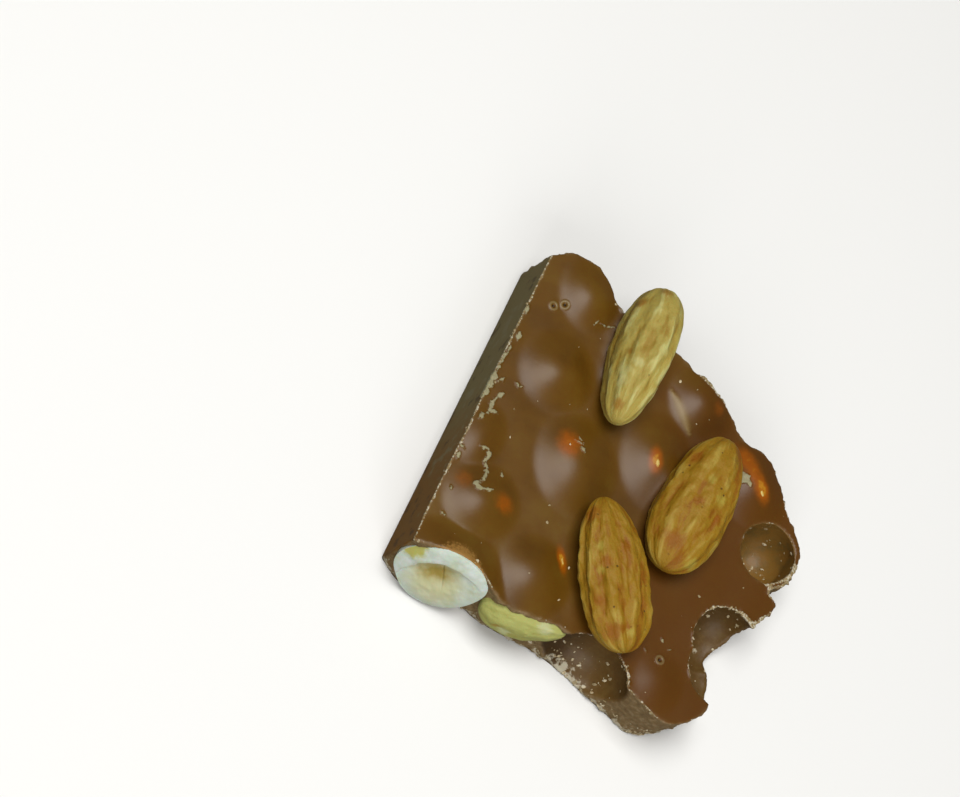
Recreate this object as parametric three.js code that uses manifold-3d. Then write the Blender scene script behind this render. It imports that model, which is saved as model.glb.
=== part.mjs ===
// A broken corner piece of cast milk chocolate slab with roasted almonds and hazelnuts.
// Millimetres, +Z up. The flat underside lies on Z = 0 with the origin below the middle
// of the piece, and the straight moulded side faces -X.

import * as THREE from "three";
import { mergeVertices } from "three/addons/utils/BufferGeometryUtils.js";
import Module from "manifold-3d";

const wasm = await Module();
wasm.setup();

// ---------------------------------------------------------------- driving dimensions

const SLAB_THICKNESS = 11; // between two nuts
const MOULDED_SIDE_X = -30.6;
const NUT_GAP = 0.3; // between a nut and the chocolate round it
const BLOCK_REACH = 76; // sides of the uncut poured block
const BELOW_UNDERSIDE = -4; // where the uncut block starts
const GRID_STEP = 1.8; // cells of the poured top
const BREAK_STEP = 1.9; // along the broken outline
const BREAK_RAGGEDNESS = 0.22;
const BREAK_LEVELS = [0, 2.8, 5.6, 8.4, 11.2, 19]; // heights at which the break is outlined

// The broken edge, anticlockwise from the foot of the moulded side to its far end: x and y of
// the upper rim, then how far the foot of the break stands out from it.
const BREAK_LINE = [
  [-30.6, -28.2, 0.6],
  [-26.6, -27.9, 2.8],
  [-19.0, -27.4, 3.0],
  [-15.2, -27.2, 1.6],
  [-8.1, -28.0, 1.2],
  [-2.0, -27.0, 1.6],
  [5.0, -28.4, 0.8],
  [12.0, -29.8, 0.8],
  [19.8, -31.2, 0.2],
  [23.2, -29.2, 0],
  [25.4, -25.6, 0.8],
  [25.6, -22.0, 3.0],
  [25.2, -18.4, 3.2],
  [24.8, -14.6, 1.2],
  [26.6, -11.2, 0.3],
  [28.2, -7.4, -0.4],
  [29.8, -3.5, -0.2],
  [27.6, -1.8, 0],
  [29.6, 0.6, 0.2],
  [30.7, 3.8, 0.4],
  [29.9, 7.6, 0.6],
  [25.4, 11.9, 0.8],
  [22.0, 15.2, 0.8],
  [17.8, 18.3, 0.8],
  [12.6, 18.8, 0.6],
  [8.5, 21.6, 1],
  [-0.4, 24.4, 1],
  [-5.6, 25.6, 1],
  [-11.6, 24.9, 0.8],
  [-16.2, 26.1, 0.6],
  [-19.0, 28.6, 0.6],
  [-22.6, 30.3, 0.6],
  [-27.0, 30.0, 0.4],
  [-30.6, 27.4, 0],
];

// Swellings of the top over the nuts below it: middle, half length, half width, height, and the
// turn of the long way from +Y towards -X, in degrees.
const SWELLINGS = [
  { x: -21.4, y: 9.5, long: 9.4, wide: 9.2, high: 3.2, turn: 20 },
  { x: -11.2, y: -2.8, long: 9.6, wide: 8.0, high: 3.6, turn: 26 },
  { x: -0.2, y: 5.7, long: 9.2, wide: 6.4, high: 3.2, turn: 20 },
  { x: -23.2, y: -16.2, long: 8.8, wide: 7.2, high: 2.7, turn: 115 },
  { x: -10.6, y: -22.6, long: 8.8, wide: 8.2, high: 3.2, turn: 60 },
  { x: -21.3, y: 24.6, long: 9.0, wide: 6.4, high: 2.4, turn: 30 },
  { x: 4.2, y: 20.6, long: 8.4, wide: 7.2, high: 2.9, turn: 30 },
  { x: 17.4, y: 12.6, long: 8.4, wide: 7.4, high: 2.6, turn: 50 },
  { x: -23.0, y: -29.0, long: 11.5, wide: 8.8, high: 2.8, turn: 90 },
  { x: 15.9, y: -26.4, long: 5.6, wide: 5.0, high: 0.9, turn: 0 },
  { x: -28.0, y: -6.8, long: 6.4, wide: 4.4, high: 0.8, turn: 0 },
];
const SWELLING_STEEPNESS = 2; // above 1 the foot of a swelling runs out softly
const VALLEY_SHARPNESS = 3; // power with which neighbouring swellings are joined

// Hollows left by hazelnuts that fell out of the break: middle and half sizes along x, y and z.
const SOCKETS = [
  { middle: [4.8, -30.9, 7.2], half: [8.2, 6.9, 6.8] },
  { middle: [24.8, 3.8, 8.4], half: [5.6, 5.6, 5.8] },
  { middle: [24.0, -14.2, 8.2], half: [6.4, 6.6, 6.6] },
  { middle: [25.8, -18.8, 8.4], half: [7.0, 6.0, 6.2] },
];

// Whole almonds on the top: size, the share of the width lost towards the tip, and place. The
// heading is the way of the tip from +Y towards -X, pitch lifts the tip and roll leans the
// broad face over, in degrees.
const ALMONDS = [
  {
    size: { length: 25.4, width: 13.0, thickness: 9.0, taper: 0.34 },
    place: { middle: [-11.0, 18.5, 15.2], heading: 187, pitch: 0, roll: 66 },
  },
  {
    size: { length: 25.2, width: 14.0, thickness: 8.6, taper: 0.24 },
    place: { middle: [8.3, 2.1, 14.6], heading: -4, pitch: 1, roll: -6 },
  },
  {
    size: { length: 24.8, width: 13.0, thickness: 8.8, taper: 0.28 },
    place: { middle: [0.4, -16.2, 14.6], heading: 35, pitch: 1, roll: 10 },
  },
];
const ALMOND_FURROWS = 9;
const ALMOND_FURROW_DEPTH = 0.022; // share of the half width
const ALMOND_FULLNESS = 2.35; // 2 is an ellipse from end to end, more is blunter

// Hazelnuts under the top, and the window in the chocolate through which each one shows.
const HAZELNUTS = [
  {
    nut: { middle: [-0.4, 5.6, 7.3], radius: 5.3 },
    window: { middle: [0.0, 5.6, 13.8], half: [1.3, 1.8, 1.6] },
  },
  {
    nut: { middle: [-7.0, -18.0, 5.6], radius: 5.0 },
    window: { middle: [-7.6, -18.1, 12.6], half: [1.0, 1.7, 2.5] },
  },
  {
    nut: { middle: [16.3, 11.5, 6.7], radius: 5.9 },
    window: { middle: [16.5, 13.0, 12.9], half: [2.5, 3.4, 1.5] },
  },
];

// The hazelnut halved by the front break: its cut face leans back from the foot.
const HALF_NUT = {
  middle: [-22.7, -29.5, 6.9],
  halfWidth: 7.5,
  halfHeight: 6.6,
  depth: 7,
  lean: 20,
};
const HALF_NUT_HOLLOW = { halfWidth: 2.9, floorShare: 0.62, depth: 1.1 };
const HALF_NUT_FACE = 0.5; // how far the cut face swells past its edge
const HALF_NUT_EDGE = { widthShare: 0.94, rise: 0.35 }; // the rounded edge of the cut face

// The blanched almond piece that sticks out of the front break.
const PALE_PIECE = {
  size: { length: 14.5, width: 8.4, thickness: 5.6, taper: 0.3 },
  place: { middle: [-7.2, -27.3, 6.9], heading: -80, pitch: 15, roll: 62 },
};

// ---------------------------------------------------------------- materials

const MATERIALS = {
  chocolate: new THREE.MeshStandardMaterial({ color: 0x6b4d2b, roughness: 0.42, metalness: 0 }),
  roastedAlmond: new THREE.MeshStandardMaterial({ color: 0x9c7630, roughness: 0.6, metalness: 0 }),
  paleAlmond: new THREE.MeshStandardMaterial({ color: 0xa8a05a, roughness: 0.6, metalness: 0 }),
  hazelnutSkin: new THREE.MeshStandardMaterial({ color: 0x97641c, roughness: 0.55, metalness: 0 }),
  hazelnutFlesh: new THREE.MeshStandardMaterial({ color: 0xbcc3a8, roughness: 0.6, metalness: 0 }),
};

// ---------------------------------------------------------------- solids and meshes

function toSolid(geometry) {
  const bare = geometry.clone();
  bare.deleteAttribute("normal");
  bare.deleteAttribute("uv");
  const merged = mergeVertices(bare, 1e-4);
  return new wasm.Manifold(
    new wasm.Mesh({
      numProp: 3,
      vertProperties: merged.getAttribute("position").array,
      triVerts: new Uint32Array(merged.index.array),
    }),
  );
}

function toGeometry(solid) {
  const mesh = solid.getMesh();
  const geometry = new THREE.BufferGeometry();
  geometry.setAttribute("position", new THREE.BufferAttribute(mesh.vertProperties, 3));
  geometry.setIndex(new THREE.BufferAttribute(mesh.triVerts, 1));
  geometry.computeVertexNormals();
  return geometry;
}

function namedMesh(name, geometry, material) {
  const mesh = new THREE.Mesh(geometry, material);
  mesh.name = name;
  return mesh;
}

function moveVertices(geometry, move) {
  const places = geometry.getAttribute("position");
  const point = new THREE.Vector3();
  for (let i = 0; i < places.count; i += 1) {
    point.fromBufferAttribute(places, i);
    move(point);
    places.setXYZ(i, point.x, point.y, point.z);
  }
  geometry.computeVertexNormals();
  return geometry;
}

// ---------------------------------------------------------------- the poured top

// A rounded cap, 1 in the middle and 0 from the rim outwards.
function cap(distance) {
  const inside = Math.max(0, 1 - distance * distance);
  return Math.pow(inside, SWELLING_STEEPNESS);
}

function swellingAt(x, y) {
  let sum = 0;
  for (const swelling of SWELLINGS) {
    const turn = THREE.MathUtils.degToRad(swelling.turn);
    const dx = x - swelling.x;
    const dy = y - swelling.y;
    const along = (-dx * Math.sin(turn) + dy * Math.cos(turn)) / swelling.long;
    const across = (dx * Math.cos(turn) + dy * Math.sin(turn)) / swelling.wide;
    sum += Math.pow(swelling.high * cap(Math.hypot(along, across)), VALLEY_SHARPNESS);
  }
  return Math.pow(sum, 1 / VALLEY_SHARPNESS);
}

function pouredBlock() {
  const cells = Math.round(BLOCK_REACH / GRID_STEP);
  const block = new THREE.BoxGeometry(BLOCK_REACH, BLOCK_REACH, 1, cells, cells, 1);
  return moveVertices(block, (point) => {
    const top = point.z > 0;
    point.z = top ? SLAB_THICKNESS + swellingAt(point.x, point.y) : BELOW_UNDERSIDE;
  });
}

// ---------------------------------------------------------------- the broken outline

// Evenly spaced rim points with the foot's spread at each, the moulded side left straight.
function breakStations() {
  const line = new THREE.CatmullRomCurve3(
    BREAK_LINE.map(([x, y, spread]) => new THREE.Vector3(x, y, spread)),
    false,
    "centripetal",
  );
  const steps = Math.round(line.getLength() / BREAK_STEP);
  return line.getSpacedPoints(steps);
}

// How far the break stands out or in, at a distance run along it and a height.
function raggedAt(run, height) {
  const coarse = Math.sin(0.83 * run + 0.31 * height);
  const fine = Math.sin(2.17 * run - 0.74 * height + 1.3);
  return BREAK_RAGGEDNESS * (coarse + fine);
}

// The outline at one height: each rim point moved outwards by its share of the spread.
function outlineAt(stations, height) {
  const last = stations.length - 1;
  return stations.map((station, i) => {
    const before = stations[Math.max(0, i - 1)];
    const after = stations[Math.min(last, i + 1)];
    const along = new THREE.Vector2(after.x - before.x, after.y - before.y).normalize();
    const spread = station.z * (1 - height / SLAB_THICKNESS);
    const atMouldedSide = i === 0 || i === last;
    const out = spread + (atMouldedSide ? 0 : raggedAt(i * BREAK_STEP, height));
    const x = station.x + along.y * out;
    const y = station.y - along.x * out;
    return new THREE.Vector3(Math.max(x, MOULDED_SIDE_X), y, height);
  });
}

// The outline at every level joined into a solid, taller than the chocolate.
function brokenPrism() {
  const stations = breakStations();
  const rings = BREAK_LEVELS.map((height) => outlineAt(stations, height));
  const count = stations.length;
  const positions = rings.flat().flatMap((point) => point.toArray());
  const faces = [];
  for (let level = 0; level < rings.length - 1; level += 1) {
    for (let i = 0; i < count; i += 1) {
      const next = (i + 1) % count;
      const a = level * count + i;
      const b = level * count + next;
      faces.push(a, b, b + count, a, b + count, a + count);
    }
  }
  for (const level of [0, rings.length - 1]) {
    const flat = rings[level].map((point) => new THREE.Vector2(point.x, point.y));
    for (const [a, b, c] of THREE.ShapeUtils.triangulateShape(flat, [])) {
      const first = level * count;
      faces.push(first + a, first + (level ? b : c), first + (level ? c : b));
    }
  }
  const prism = new THREE.BufferGeometry();
  prism.setAttribute("position", new THREE.Float32BufferAttribute(positions, 3));
  prism.setIndex(faces);
  return prism;
}

// A smooth hollow with the given half sizes.
function hollowSolid({ middle, half }, around = 24, along = 12) {
  const hollow = new THREE.SphereGeometry(1, around, along);
  hollow.scale(...half);
  hollow.translate(...middle);
  return toSolid(hollow);
}

// ---------------------------------------------------------------- the nuts

// An almond along Y with its tip at +Y and its broad faces towards Z, furrowed lengthwise.
function almondGeometry({ length, width, thickness, taper }, furrowDepth, around, along) {
  const body = new THREE.SphereGeometry(1, around, along);
  return moveVertices(body, (point) => {
    const turn = Math.atan2(point.z, point.x);
    const round = Math.sqrt(Math.max(1e-6, 1 - point.y * point.y));
    const short = Math.max(0, 1 - Math.pow(Math.abs(point.y), ALMOND_FULLNESS));
    const full = Math.pow(short, 1 / ALMOND_FULLNESS);
    const towardsTip = Math.pow((point.y + 1) / 2, 2);
    const furrow = 1 + furrowDepth * Math.cos(ALMOND_FURROWS * turn + 1.5 * point.y);
    const swell = (full / round) * furrow;
    point.x *= (width / 2) * (1 - taper * towardsTip) * swell;
    point.z *= (thickness / 2) * (1 - (taper / 2) * towardsTip) * swell;
    point.y *= length / 2;
  });
}

function placeAlmond(target, { middle, heading, pitch, roll }) {
  const radians = [pitch, roll, heading].map(THREE.MathUtils.degToRad);
  target.position.set(...middle);
  target.rotation.set(...radians, "ZXY");
  target.updateMatrixWorld();
}

// The space that an almond takes out of the chocolate.
function almondPocket({ size, place }) {
  const room = 2 * (NUT_GAP + ALMOND_FURROW_DEPTH * size.width);
  const roomy = {
    length: size.length + room,
    width: size.width + room,
    thickness: size.thickness + room,
    taper: size.taper,
  };
  const pocket = new THREE.Mesh(almondGeometry(roomy, 0, 20, 12));
  placeAlmond(pocket, place);
  return toSolid(pocket.geometry.applyMatrix4(pocket.matrixWorld));
}

function hazelnutGeometry(radius) {
  const nut = new THREE.SphereGeometry(radius, 18, 11);
  nut.rotateX(Math.PI / 2);
  return nut;
}

// Half a hazelnut turned about Y: the cut face with its hollow towards +Y, the round back to -Y.
function halfNutGeometry(halfWidth, halfHeight, depth, hollow) {
  const profile = [];
  const backSteps = 7;
  for (let i = 0; i <= backSteps; i += 1) {
    const angle = (i / backSteps) * (Math.PI / 2);
    profile.push(new THREE.Vector2(Math.sin(angle), -Math.cos(angle) * depth));
  }
  profile.push(new THREE.Vector2(HALF_NUT_EDGE.widthShare, HALF_NUT_EDGE.rise));
  if (hollow) {
    const mouth = hollow.halfWidth / halfWidth;
    const floor = HALF_NUT_FACE - hollow.depth;
    profile.push(new THREE.Vector2(mouth, HALF_NUT_FACE));
    profile.push(new THREE.Vector2(mouth * hollow.floorShare, floor * 0.8));
    profile.push(new THREE.Vector2(0, floor));
  } else {
    profile.push(new THREE.Vector2(0, HALF_NUT_FACE + NUT_GAP));
  }
  const nut = new THREE.LatheGeometry(profile, 28);
  nut.scale(halfWidth, 1, halfHeight);
  return nut;
}

// Turns a half nut's cut face towards -Y and leans it back.
function placeHalfNut(target) {
  target.position.set(...HALF_NUT.middle);
  target.rotation.set(Math.PI - THREE.MathUtils.degToRad(HALF_NUT.lean), 0, 0);
  target.updateMatrixWorld();
}

function halfNutPocket() {
  const { halfWidth, halfHeight, depth } = HALF_NUT;
  const pocket = new THREE.Mesh(
    halfNutGeometry(halfWidth + NUT_GAP, halfHeight + NUT_GAP, depth + NUT_GAP, null),
  );
  placeHalfNut(pocket);
  return toSolid(pocket.geometry.applyMatrix4(pocket.matrixWorld));
}

// ---------------------------------------------------------------- the chocolate

function chocolateGeometry() {
  const hollows = [
    ...SOCKETS.map((socket) => hollowSolid(socket)),
    ...ALMONDS.map(almondPocket),
    ...HAZELNUTS.map(({ nut }) => {
      const room = nut.radius + NUT_GAP;
      return hollowSolid({ middle: nut.middle, half: [room, room, room] }, 18, 11);
    }),
    ...HAZELNUTS.map(({ window }) => hollowSolid(window, 12, 8)),
    almondPocket(PALE_PIECE),
    halfNutPocket(),
  ];
  const block = toSolid(pouredBlock()).intersect(toSolid(brokenPrism()));
  const cut = hollows.reduce((chocolate, hollow) => chocolate.subtract(hollow), block);
  const [largest] = cut.decompose().sort((a, b) => b.volume() - a.volume());
  return toGeometry(largest);
}

// ---------------------------------------------------------------- the piece

const slabPiece = new THREE.Group();
slabPiece.add(namedMesh("chocolate", chocolateGeometry(), MATERIALS.chocolate));

ALMONDS.forEach(({ size, place }, i) => {
  const mesh = namedMesh(
    `almond_${i + 1}`,
    almondGeometry(size, ALMOND_FURROW_DEPTH, 27, 16),
    i === 0 ? MATERIALS.paleAlmond : MATERIALS.roastedAlmond,
  );
  placeAlmond(mesh, place);
  slabPiece.add(mesh);
});

HAZELNUTS.forEach(({ nut }, i) => {
  const name = `hazelnut_${i + 1}`;
  const mesh = namedMesh(name, hazelnutGeometry(nut.radius), MATERIALS.hazelnutSkin);
  mesh.position.set(...nut.middle);
  slabPiece.add(mesh);
});

const { halfWidth, halfHeight, depth } = HALF_NUT;
const halfNut = namedMesh(
  "hazelnut_half",
  halfNutGeometry(halfWidth, halfHeight, depth, HALF_NUT_HOLLOW),
  MATERIALS.hazelnutFlesh,
);
placeHalfNut(halfNut);
slabPiece.add(halfNut);

const palePiece = namedMesh(
  "almond_piece",
  almondGeometry(PALE_PIECE.size, ALMOND_FURROW_DEPTH, 22, 13),
  MATERIALS.paleAlmond,
);
placeAlmond(palePiece, PALE_PIECE.place);
slabPiece.add(palePiece);

export default slabPiece;
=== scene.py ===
import math

import bmesh
import bpy
import numpy as np
from mathutils import Matrix, Vector


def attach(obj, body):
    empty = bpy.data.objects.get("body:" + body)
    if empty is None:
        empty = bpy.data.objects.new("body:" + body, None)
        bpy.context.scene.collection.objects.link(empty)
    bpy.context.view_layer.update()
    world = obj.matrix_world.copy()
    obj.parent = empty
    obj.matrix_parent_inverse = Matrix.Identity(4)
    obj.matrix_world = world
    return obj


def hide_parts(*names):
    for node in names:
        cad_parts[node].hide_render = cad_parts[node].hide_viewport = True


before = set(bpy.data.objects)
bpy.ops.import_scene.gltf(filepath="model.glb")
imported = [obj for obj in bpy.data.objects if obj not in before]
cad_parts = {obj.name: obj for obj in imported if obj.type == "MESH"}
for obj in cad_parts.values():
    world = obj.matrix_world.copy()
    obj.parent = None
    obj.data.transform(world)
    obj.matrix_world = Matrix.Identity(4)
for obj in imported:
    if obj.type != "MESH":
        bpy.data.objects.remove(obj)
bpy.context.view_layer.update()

# Every size below is in millimetres, and make_piece turns it into metres once.


# ---------------------------------------------------------------- whole almonds
# Three blanched and roasted almonds lie on the top, sunk a little way into it. The roasting has
# browned their furrows, and the ridges between them are paler, partly their own colour and
# partly a painted highlight.

MM = 0.001

# Scorched and bare spots are a place in the nut's own frame, then a reach.
ALMONDS = {
    "almond_1": {
        "size": {"length": 25.4, "width": 12.4, "thickness": 8.8, "taper": 0.30},
        "place": {"middle": (-11.0, 18.5, 15.2), "heading": 184, "pitch": 0, "roll": 66},
        "wrinkle": 0.12,
        "scorched": [(-1.2, 1.5, 4.1, 0.7), (-1.4, 10.5, 2.4, 1.2), (0.2, -7.8, 3.8, 1.3),
                     (-2.4, -10.9, 2.0, 1.3), (-4.6, 8.4, 2.0, 1.0)],
        "bare": [(-3.4, 3.2, 3.2, 1.1), (-1.2, 6.6, 3.4, 1.4)],
    },
    "almond_2": {
        "size": {"length": 25.7, "width": 13.1, "thickness": 8.6, "taper": 0.22},
        "place": {"middle": (8.3, 2.1, 14.6), "heading": -4, "pitch": 1, "roll": -6},
        "wrinkle": 0.17,
        "scorched": [(2.2, 11.2, 1.4, 1.5), (-1.4, -9.0, 3.2, 2.4), (-0.8, -1.1, 4.2, 1.2),
                     (-4.2, 6.0, 2.3, 1.6), (3.5, -1.9, 3.5, 1.1)],
        "bare": [(3.6, -10.2, 1.8, 1.5), (2.5, 1.3, 3.8, 1.2), (-0.5, 3.2, 4.0, 1.0)],
    },
    "almond_3": {
        "size": {"length": 24.8, "width": 13.0, "thickness": 8.8, "taper": 0.28},
        "place": {"middle": (0.4, -16.2, 14.6), "heading": 35, "pitch": 1, "roll": 10},
        "wrinkle": 0.30,
        "scorched": [(-3.4, -9.4, 2.3, 2.0), (-2.2, -9.0, 3.0, 1.4), (-3.4, 9.6, 0.8, 1.9),
                     (-3.6, 1.8, 3.2, 1.2), (-0.2, 3.9, 4.0, 1.3), (-5.2, -4.2, 2.1, 1.2)],
        "bare": [(-4.1, 4.3, 2.6, 1.0), (-0.8, -9.6, 3.0, 0.9), (-4.6, 0.4, 2.6, 0.9)],
    },
}
ALMOND_DETAIL = (260, 170)
ALMOND_FULLNESS = 2.35
ALMOND_FURROWS = 9
ALMOND_FURROW_DEPTH = 0.022
ROASTED = {"pale": (166, 140, 58), "golden": (146, 110, 22), "brown": (134, 84, 12),
           "scorch": (134, 78, 4), "bare": (166, 150, 62)}
BLANCHED = {"pale": (188, 182, 114), "golden": (166, 148, 72), "brown": (150, 122, 46),
            "scorch": (142, 100, 28), "bare": (190, 184, 120)}
ALMOND_PIT = (70, 44, 18)


def linear(rgb):
    """A colour of three numbers from 0 to 255, as the shaders want it."""
    share = np.array(rgb) / 255
    curve = np.where(share <= 0.04045, share / 12.92, ((share + 0.055) / 1.055) ** 2.4)
    return (*(float(c) for c in curve), 1.0)


def lumps(points, size, seed):
    """A smooth random height from -1 to 1 at each point, with lumps of about the given size."""
    cell = np.asarray(points) / size
    corner = np.floor(cell)
    share = cell - corner
    share = share * share * (3 - 2 * share)
    corner = corner.astype(np.int64)
    height = np.zeros(len(cell))
    for step in np.ndindex(2, 2, 2):
        x, y, z = (corner + step).T
        key = (x * 73856093) ^ (y * 19349663) ^ (z * 83492791) ^ (seed * 668265263)
        key = ((key ^ (key >> 15)) * 2246822519) & 0xFFFFFFFF
        key = ((key ^ (key >> 13)) * 3266489917) & 0xFFFFFFFF
        key = key ^ (key >> 16)
        weight = np.prod(np.where(step, share, 1 - share), axis=1)
        height += weight * (key / 2**31 - 1)
    return height


def ball(around, along):
    """A unit sphere with its poles on Y: its points, and faces that point outwards."""
    rise = np.linspace(0, math.pi, along + 1)[1:-1]
    turn = np.linspace(0, 2 * math.pi, around, endpoint=False)
    rise, turn = (grid.ravel() for grid in np.meshgrid(rise, turn, indexing="ij"))
    rings = np.stack([np.sin(rise) * np.cos(turn), -np.cos(rise), np.sin(rise) * np.sin(turn)], 1)
    points = np.concatenate([[[0, -1, 0]], rings, [[0, 1, 0]]])
    number = np.arange(1, len(points) - 1).reshape(along - 1, around)
    beside = np.roll(number, -1, axis=1)
    quads = np.stack([number[:-1], number[1:], beside[1:], beside[:-1]], -1).reshape(-1, 4)
    faces = quads.tolist()
    faces += [[0, a, b] for a, b in zip(number[0], beside[0])]
    faces += [[len(points) - 1, b, a] for a, b in zip(number[-1], beside[-1])]
    return points, faces


def make_piece(name, points, faces, material, marks):
    """A smooth-shaded mesh object. Marks are numbers or directions kept at each point."""
    mesh = bpy.data.meshes.new(name)
    mesh.from_pydata((np.asarray(points) * MM).tolist(), [], faces)
    for mark, values in marks.items():
        values = np.asarray(values, np.float32)
        kind, slot = ("FLOAT", "value") if values.ndim == 1 else ("FLOAT_VECTOR", "vector")
        kept = mesh.attributes.new(mark, kind, "POINT")
        kept.data.foreach_set(slot, values.ravel())
    mesh.materials.append(material)
    mesh.shade_smooth()
    piece = bpy.data.objects.new(name, mesh)
    bpy.context.collection.objects.link(piece)
    return piece


class Nodes:
    """Adds nodes to one tree. An input takes a plain value or another node's output, and a
    colour input also takes three numbers from 0 to 255."""

    def __init__(self, tree):
        self.tree = tree

    def add(self, kind, feeds=(), **settings):
        made = self.tree.nodes.new(kind)
        for setting, value in settings.items():
            setattr(made, setting, value)
        for name, value in dict(feeds).items():
            socket = made.inputs[name]
            if isinstance(value, bpy.types.NodeSocket):
                self.tree.links.new(value, socket)
            else:
                socket.default_value = linear(value) if socket.type == "RGBA" else value
        return made

    def maths(self, operation, *values):
        """What a Math node makes of the values."""
        return self.add("ShaderNodeMath", enumerate(values), operation=operation).outputs[0]

    def times(self, *values):
        return self.maths("MULTIPLY", *values)

    def times_plus(self, *values):
        return self.maths("MULTIPLY_ADD", *values)

    def plus(self, *values):
        return self.maths("ADD", *values)

    def minus(self, *values):
        return self.maths("SUBTRACT", *values)

    def blend(self, share, first, second):
        """The first colour where share is 0, the second where it is 1."""
        feeds = {0: share, 6: first, 7: second}
        return self.add("ShaderNodeMix", feeds, data_type="RGBA").outputs[2]

    def between(self, value, low, high):
        """0 below low and 1 above high, with a soft step between them."""
        feeds = {"Value": value, "From Min": low, "From Max": high}
        return self.add("ShaderNodeMapRange", feeds, interpolation_type="SMOOTHSTEP").outputs[0]

    def noise(self, place, size, detail=2.0, roughness=0.5):
        """Random values from 0 to 1 in lumps of the given size, in millimetres."""
        return self.scaled_noise(place, 1 / (size * MM), detail, roughness)

    def scaled_noise(self, place, scale, detail, roughness):
        feeds = {"Vector": place, "Scale": scale, "Detail": detail, "Roughness": roughness}
        return self.add("ShaderNodeTexNoise", feeds).outputs["Fac"]

    def spot(self):
        """Where on the piece the material is being read."""
        return self.add("ShaderNodeTexCoord").outputs["Object"]

    def mark(self, name, kind="Fac"):
        """What is kept at the mesh's points under a name."""
        return self.add("ShaderNodeAttribute", attribute_name=name).outputs[kind]

    def use_group(self, group, feeds):
        """A group placed in this tree, with its own values."""
        return self.add("ShaderNodeGroup", feeds, node_tree=group).outputs

    def mottled(self, place, size, plain, darker, lighter, amount):
        """A plain colour with patches of two others, their size in millimetres."""
        return self.use_group(mottle, {
            "Place": place, "Scale": 1 / (size * MM), "Plain": plain, "Darker": darker,
            "Lighter": lighter, "Amount": amount,
        })["Color"]

    def grained(self, place, size, grain):
        """The height of a surface's relief, its size in millimetres."""
        feeds = {"Place": place, "Scale": 1 / (size * MM), "Grain": grain}
        return self.use_group(surface_grain, feeds)["Height"]

    def finish(self, feeds, height=None, strength=0, depth=0):
        """The Principled shader that a finish ends in, with its relief, depth in millimetres."""
        if height is not None:
            bump = {"Height": height, "Strength": strength, "Distance": depth * MM}
            feeds["Normal"] = self.add("ShaderNodeBump", bump).outputs[0]
        shader = self.add("ShaderNodeBsdfPrincipled", feeds)
        self.add("ShaderNodeOutputMaterial", {"Surface": shader.outputs[0]})


def new_group(name, inputs, outputs):
    """A shader node group, with the nodes that bring its inputs in and take its outputs out."""
    tree = bpy.data.node_groups.new(name, "ShaderNodeTree")
    for sockets, way in ((inputs, "INPUT"), (outputs, "OUTPUT")):
        for socket, kind in sockets.items():
            tree.interface.new_socket(socket, in_out=way, socket_type=f"NodeSocket{kind}")
    given, out = (tree.nodes.new(f"NodeGroup{way}") for way in ("Input", "Output"))
    return Nodes(tree), given.outputs, out.inputs


def new_material(name):
    """An empty node material and what adds its nodes."""
    material = bpy.data.materials.new(name)
    material.use_nodes = True
    material.node_tree.nodes.clear()
    return material, Nodes(material.node_tree)


def mottle_group():
    """Soft patches of a darker and a lighter colour in a plain one."""
    inputs = {"Place": "Vector", "Scale": "Float", "Plain": "Color", "Darker": "Color",
              "Lighter": "Color", "Amount": "Float"}
    n, given, out = new_group("mottle", inputs, {"Color": "Color"})
    patches = n.scaled_noise(given["Place"], given["Scale"], 3.0, 0.55)
    dark = n.times(n.between(patches, 0.52, 0.30), given["Amount"])
    light = n.times(n.between(patches, 0.50, 0.70), given["Amount"])
    darkened = n.blend(dark, given["Plain"], given["Darker"])
    n.tree.links.new(n.blend(light, darkened, given["Lighter"]), out["Color"])
    return n.tree


def grain_group():
    """The fine relief of a food's surface: a soft unevenness with a sharper grain on it."""
    inputs = {"Place": "Vector", "Scale": "Float", "Grain": "Float"}
    n, given, out = new_group("surface_grain", inputs, {"Height": "Float"})
    coarse = n.scaled_noise(given["Place"], given["Scale"], 2.0, 0.5)
    fine = n.scaled_noise(given["Place"], n.times(given["Scale"], 5.3), 3.0, 0.65)
    n.tree.links.new(n.times_plus(fine, given["Grain"], coarse), out["Height"])
    return n.tree


def streak_group():
    """Roasting streaks along a nut: golden skin, brown furrows, and pale ridges whose paleness is
    partly a painted highlight.
    """
    inputs = {"Streak": "Vector", "Ridge_Highlight": "Float", "Pale": "Color", "Golden": "Color",
              "Brown": "Color"}
    n, given, out = new_group("roast_streaks", inputs, {"Color": "Color", "Height": "Float"})
    broad = n.noise(given["Streak"], 2.2, 3.0, 0.6)
    thin = n.noise(given["Streak"], 0.6, 3.0, 0.55)
    # Higher on a ridge the colour turns paler: a painted highlight along the ridges, mixed into the
    # roast streaks.
    shade = n.times_plus(given["Ridge_Highlight"], 0.15, broad)
    shade = n.times_plus(thin, 0.26, shade)
    colour = n.blend(n.between(shade, 0.60, 0.40), given["Golden"], given["Brown"])
    colour = n.blend(n.between(shade, 0.64, 0.87), colour, given["Pale"])
    n.tree.links.new(colour, out["Color"])
    n.tree.links.new(n.times_plus(thin, 0.6, broad), out["Height"])
    return n.tree


mottle = mottle_group()
surface_grain = grain_group()
roast_streaks = streak_group()


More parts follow.
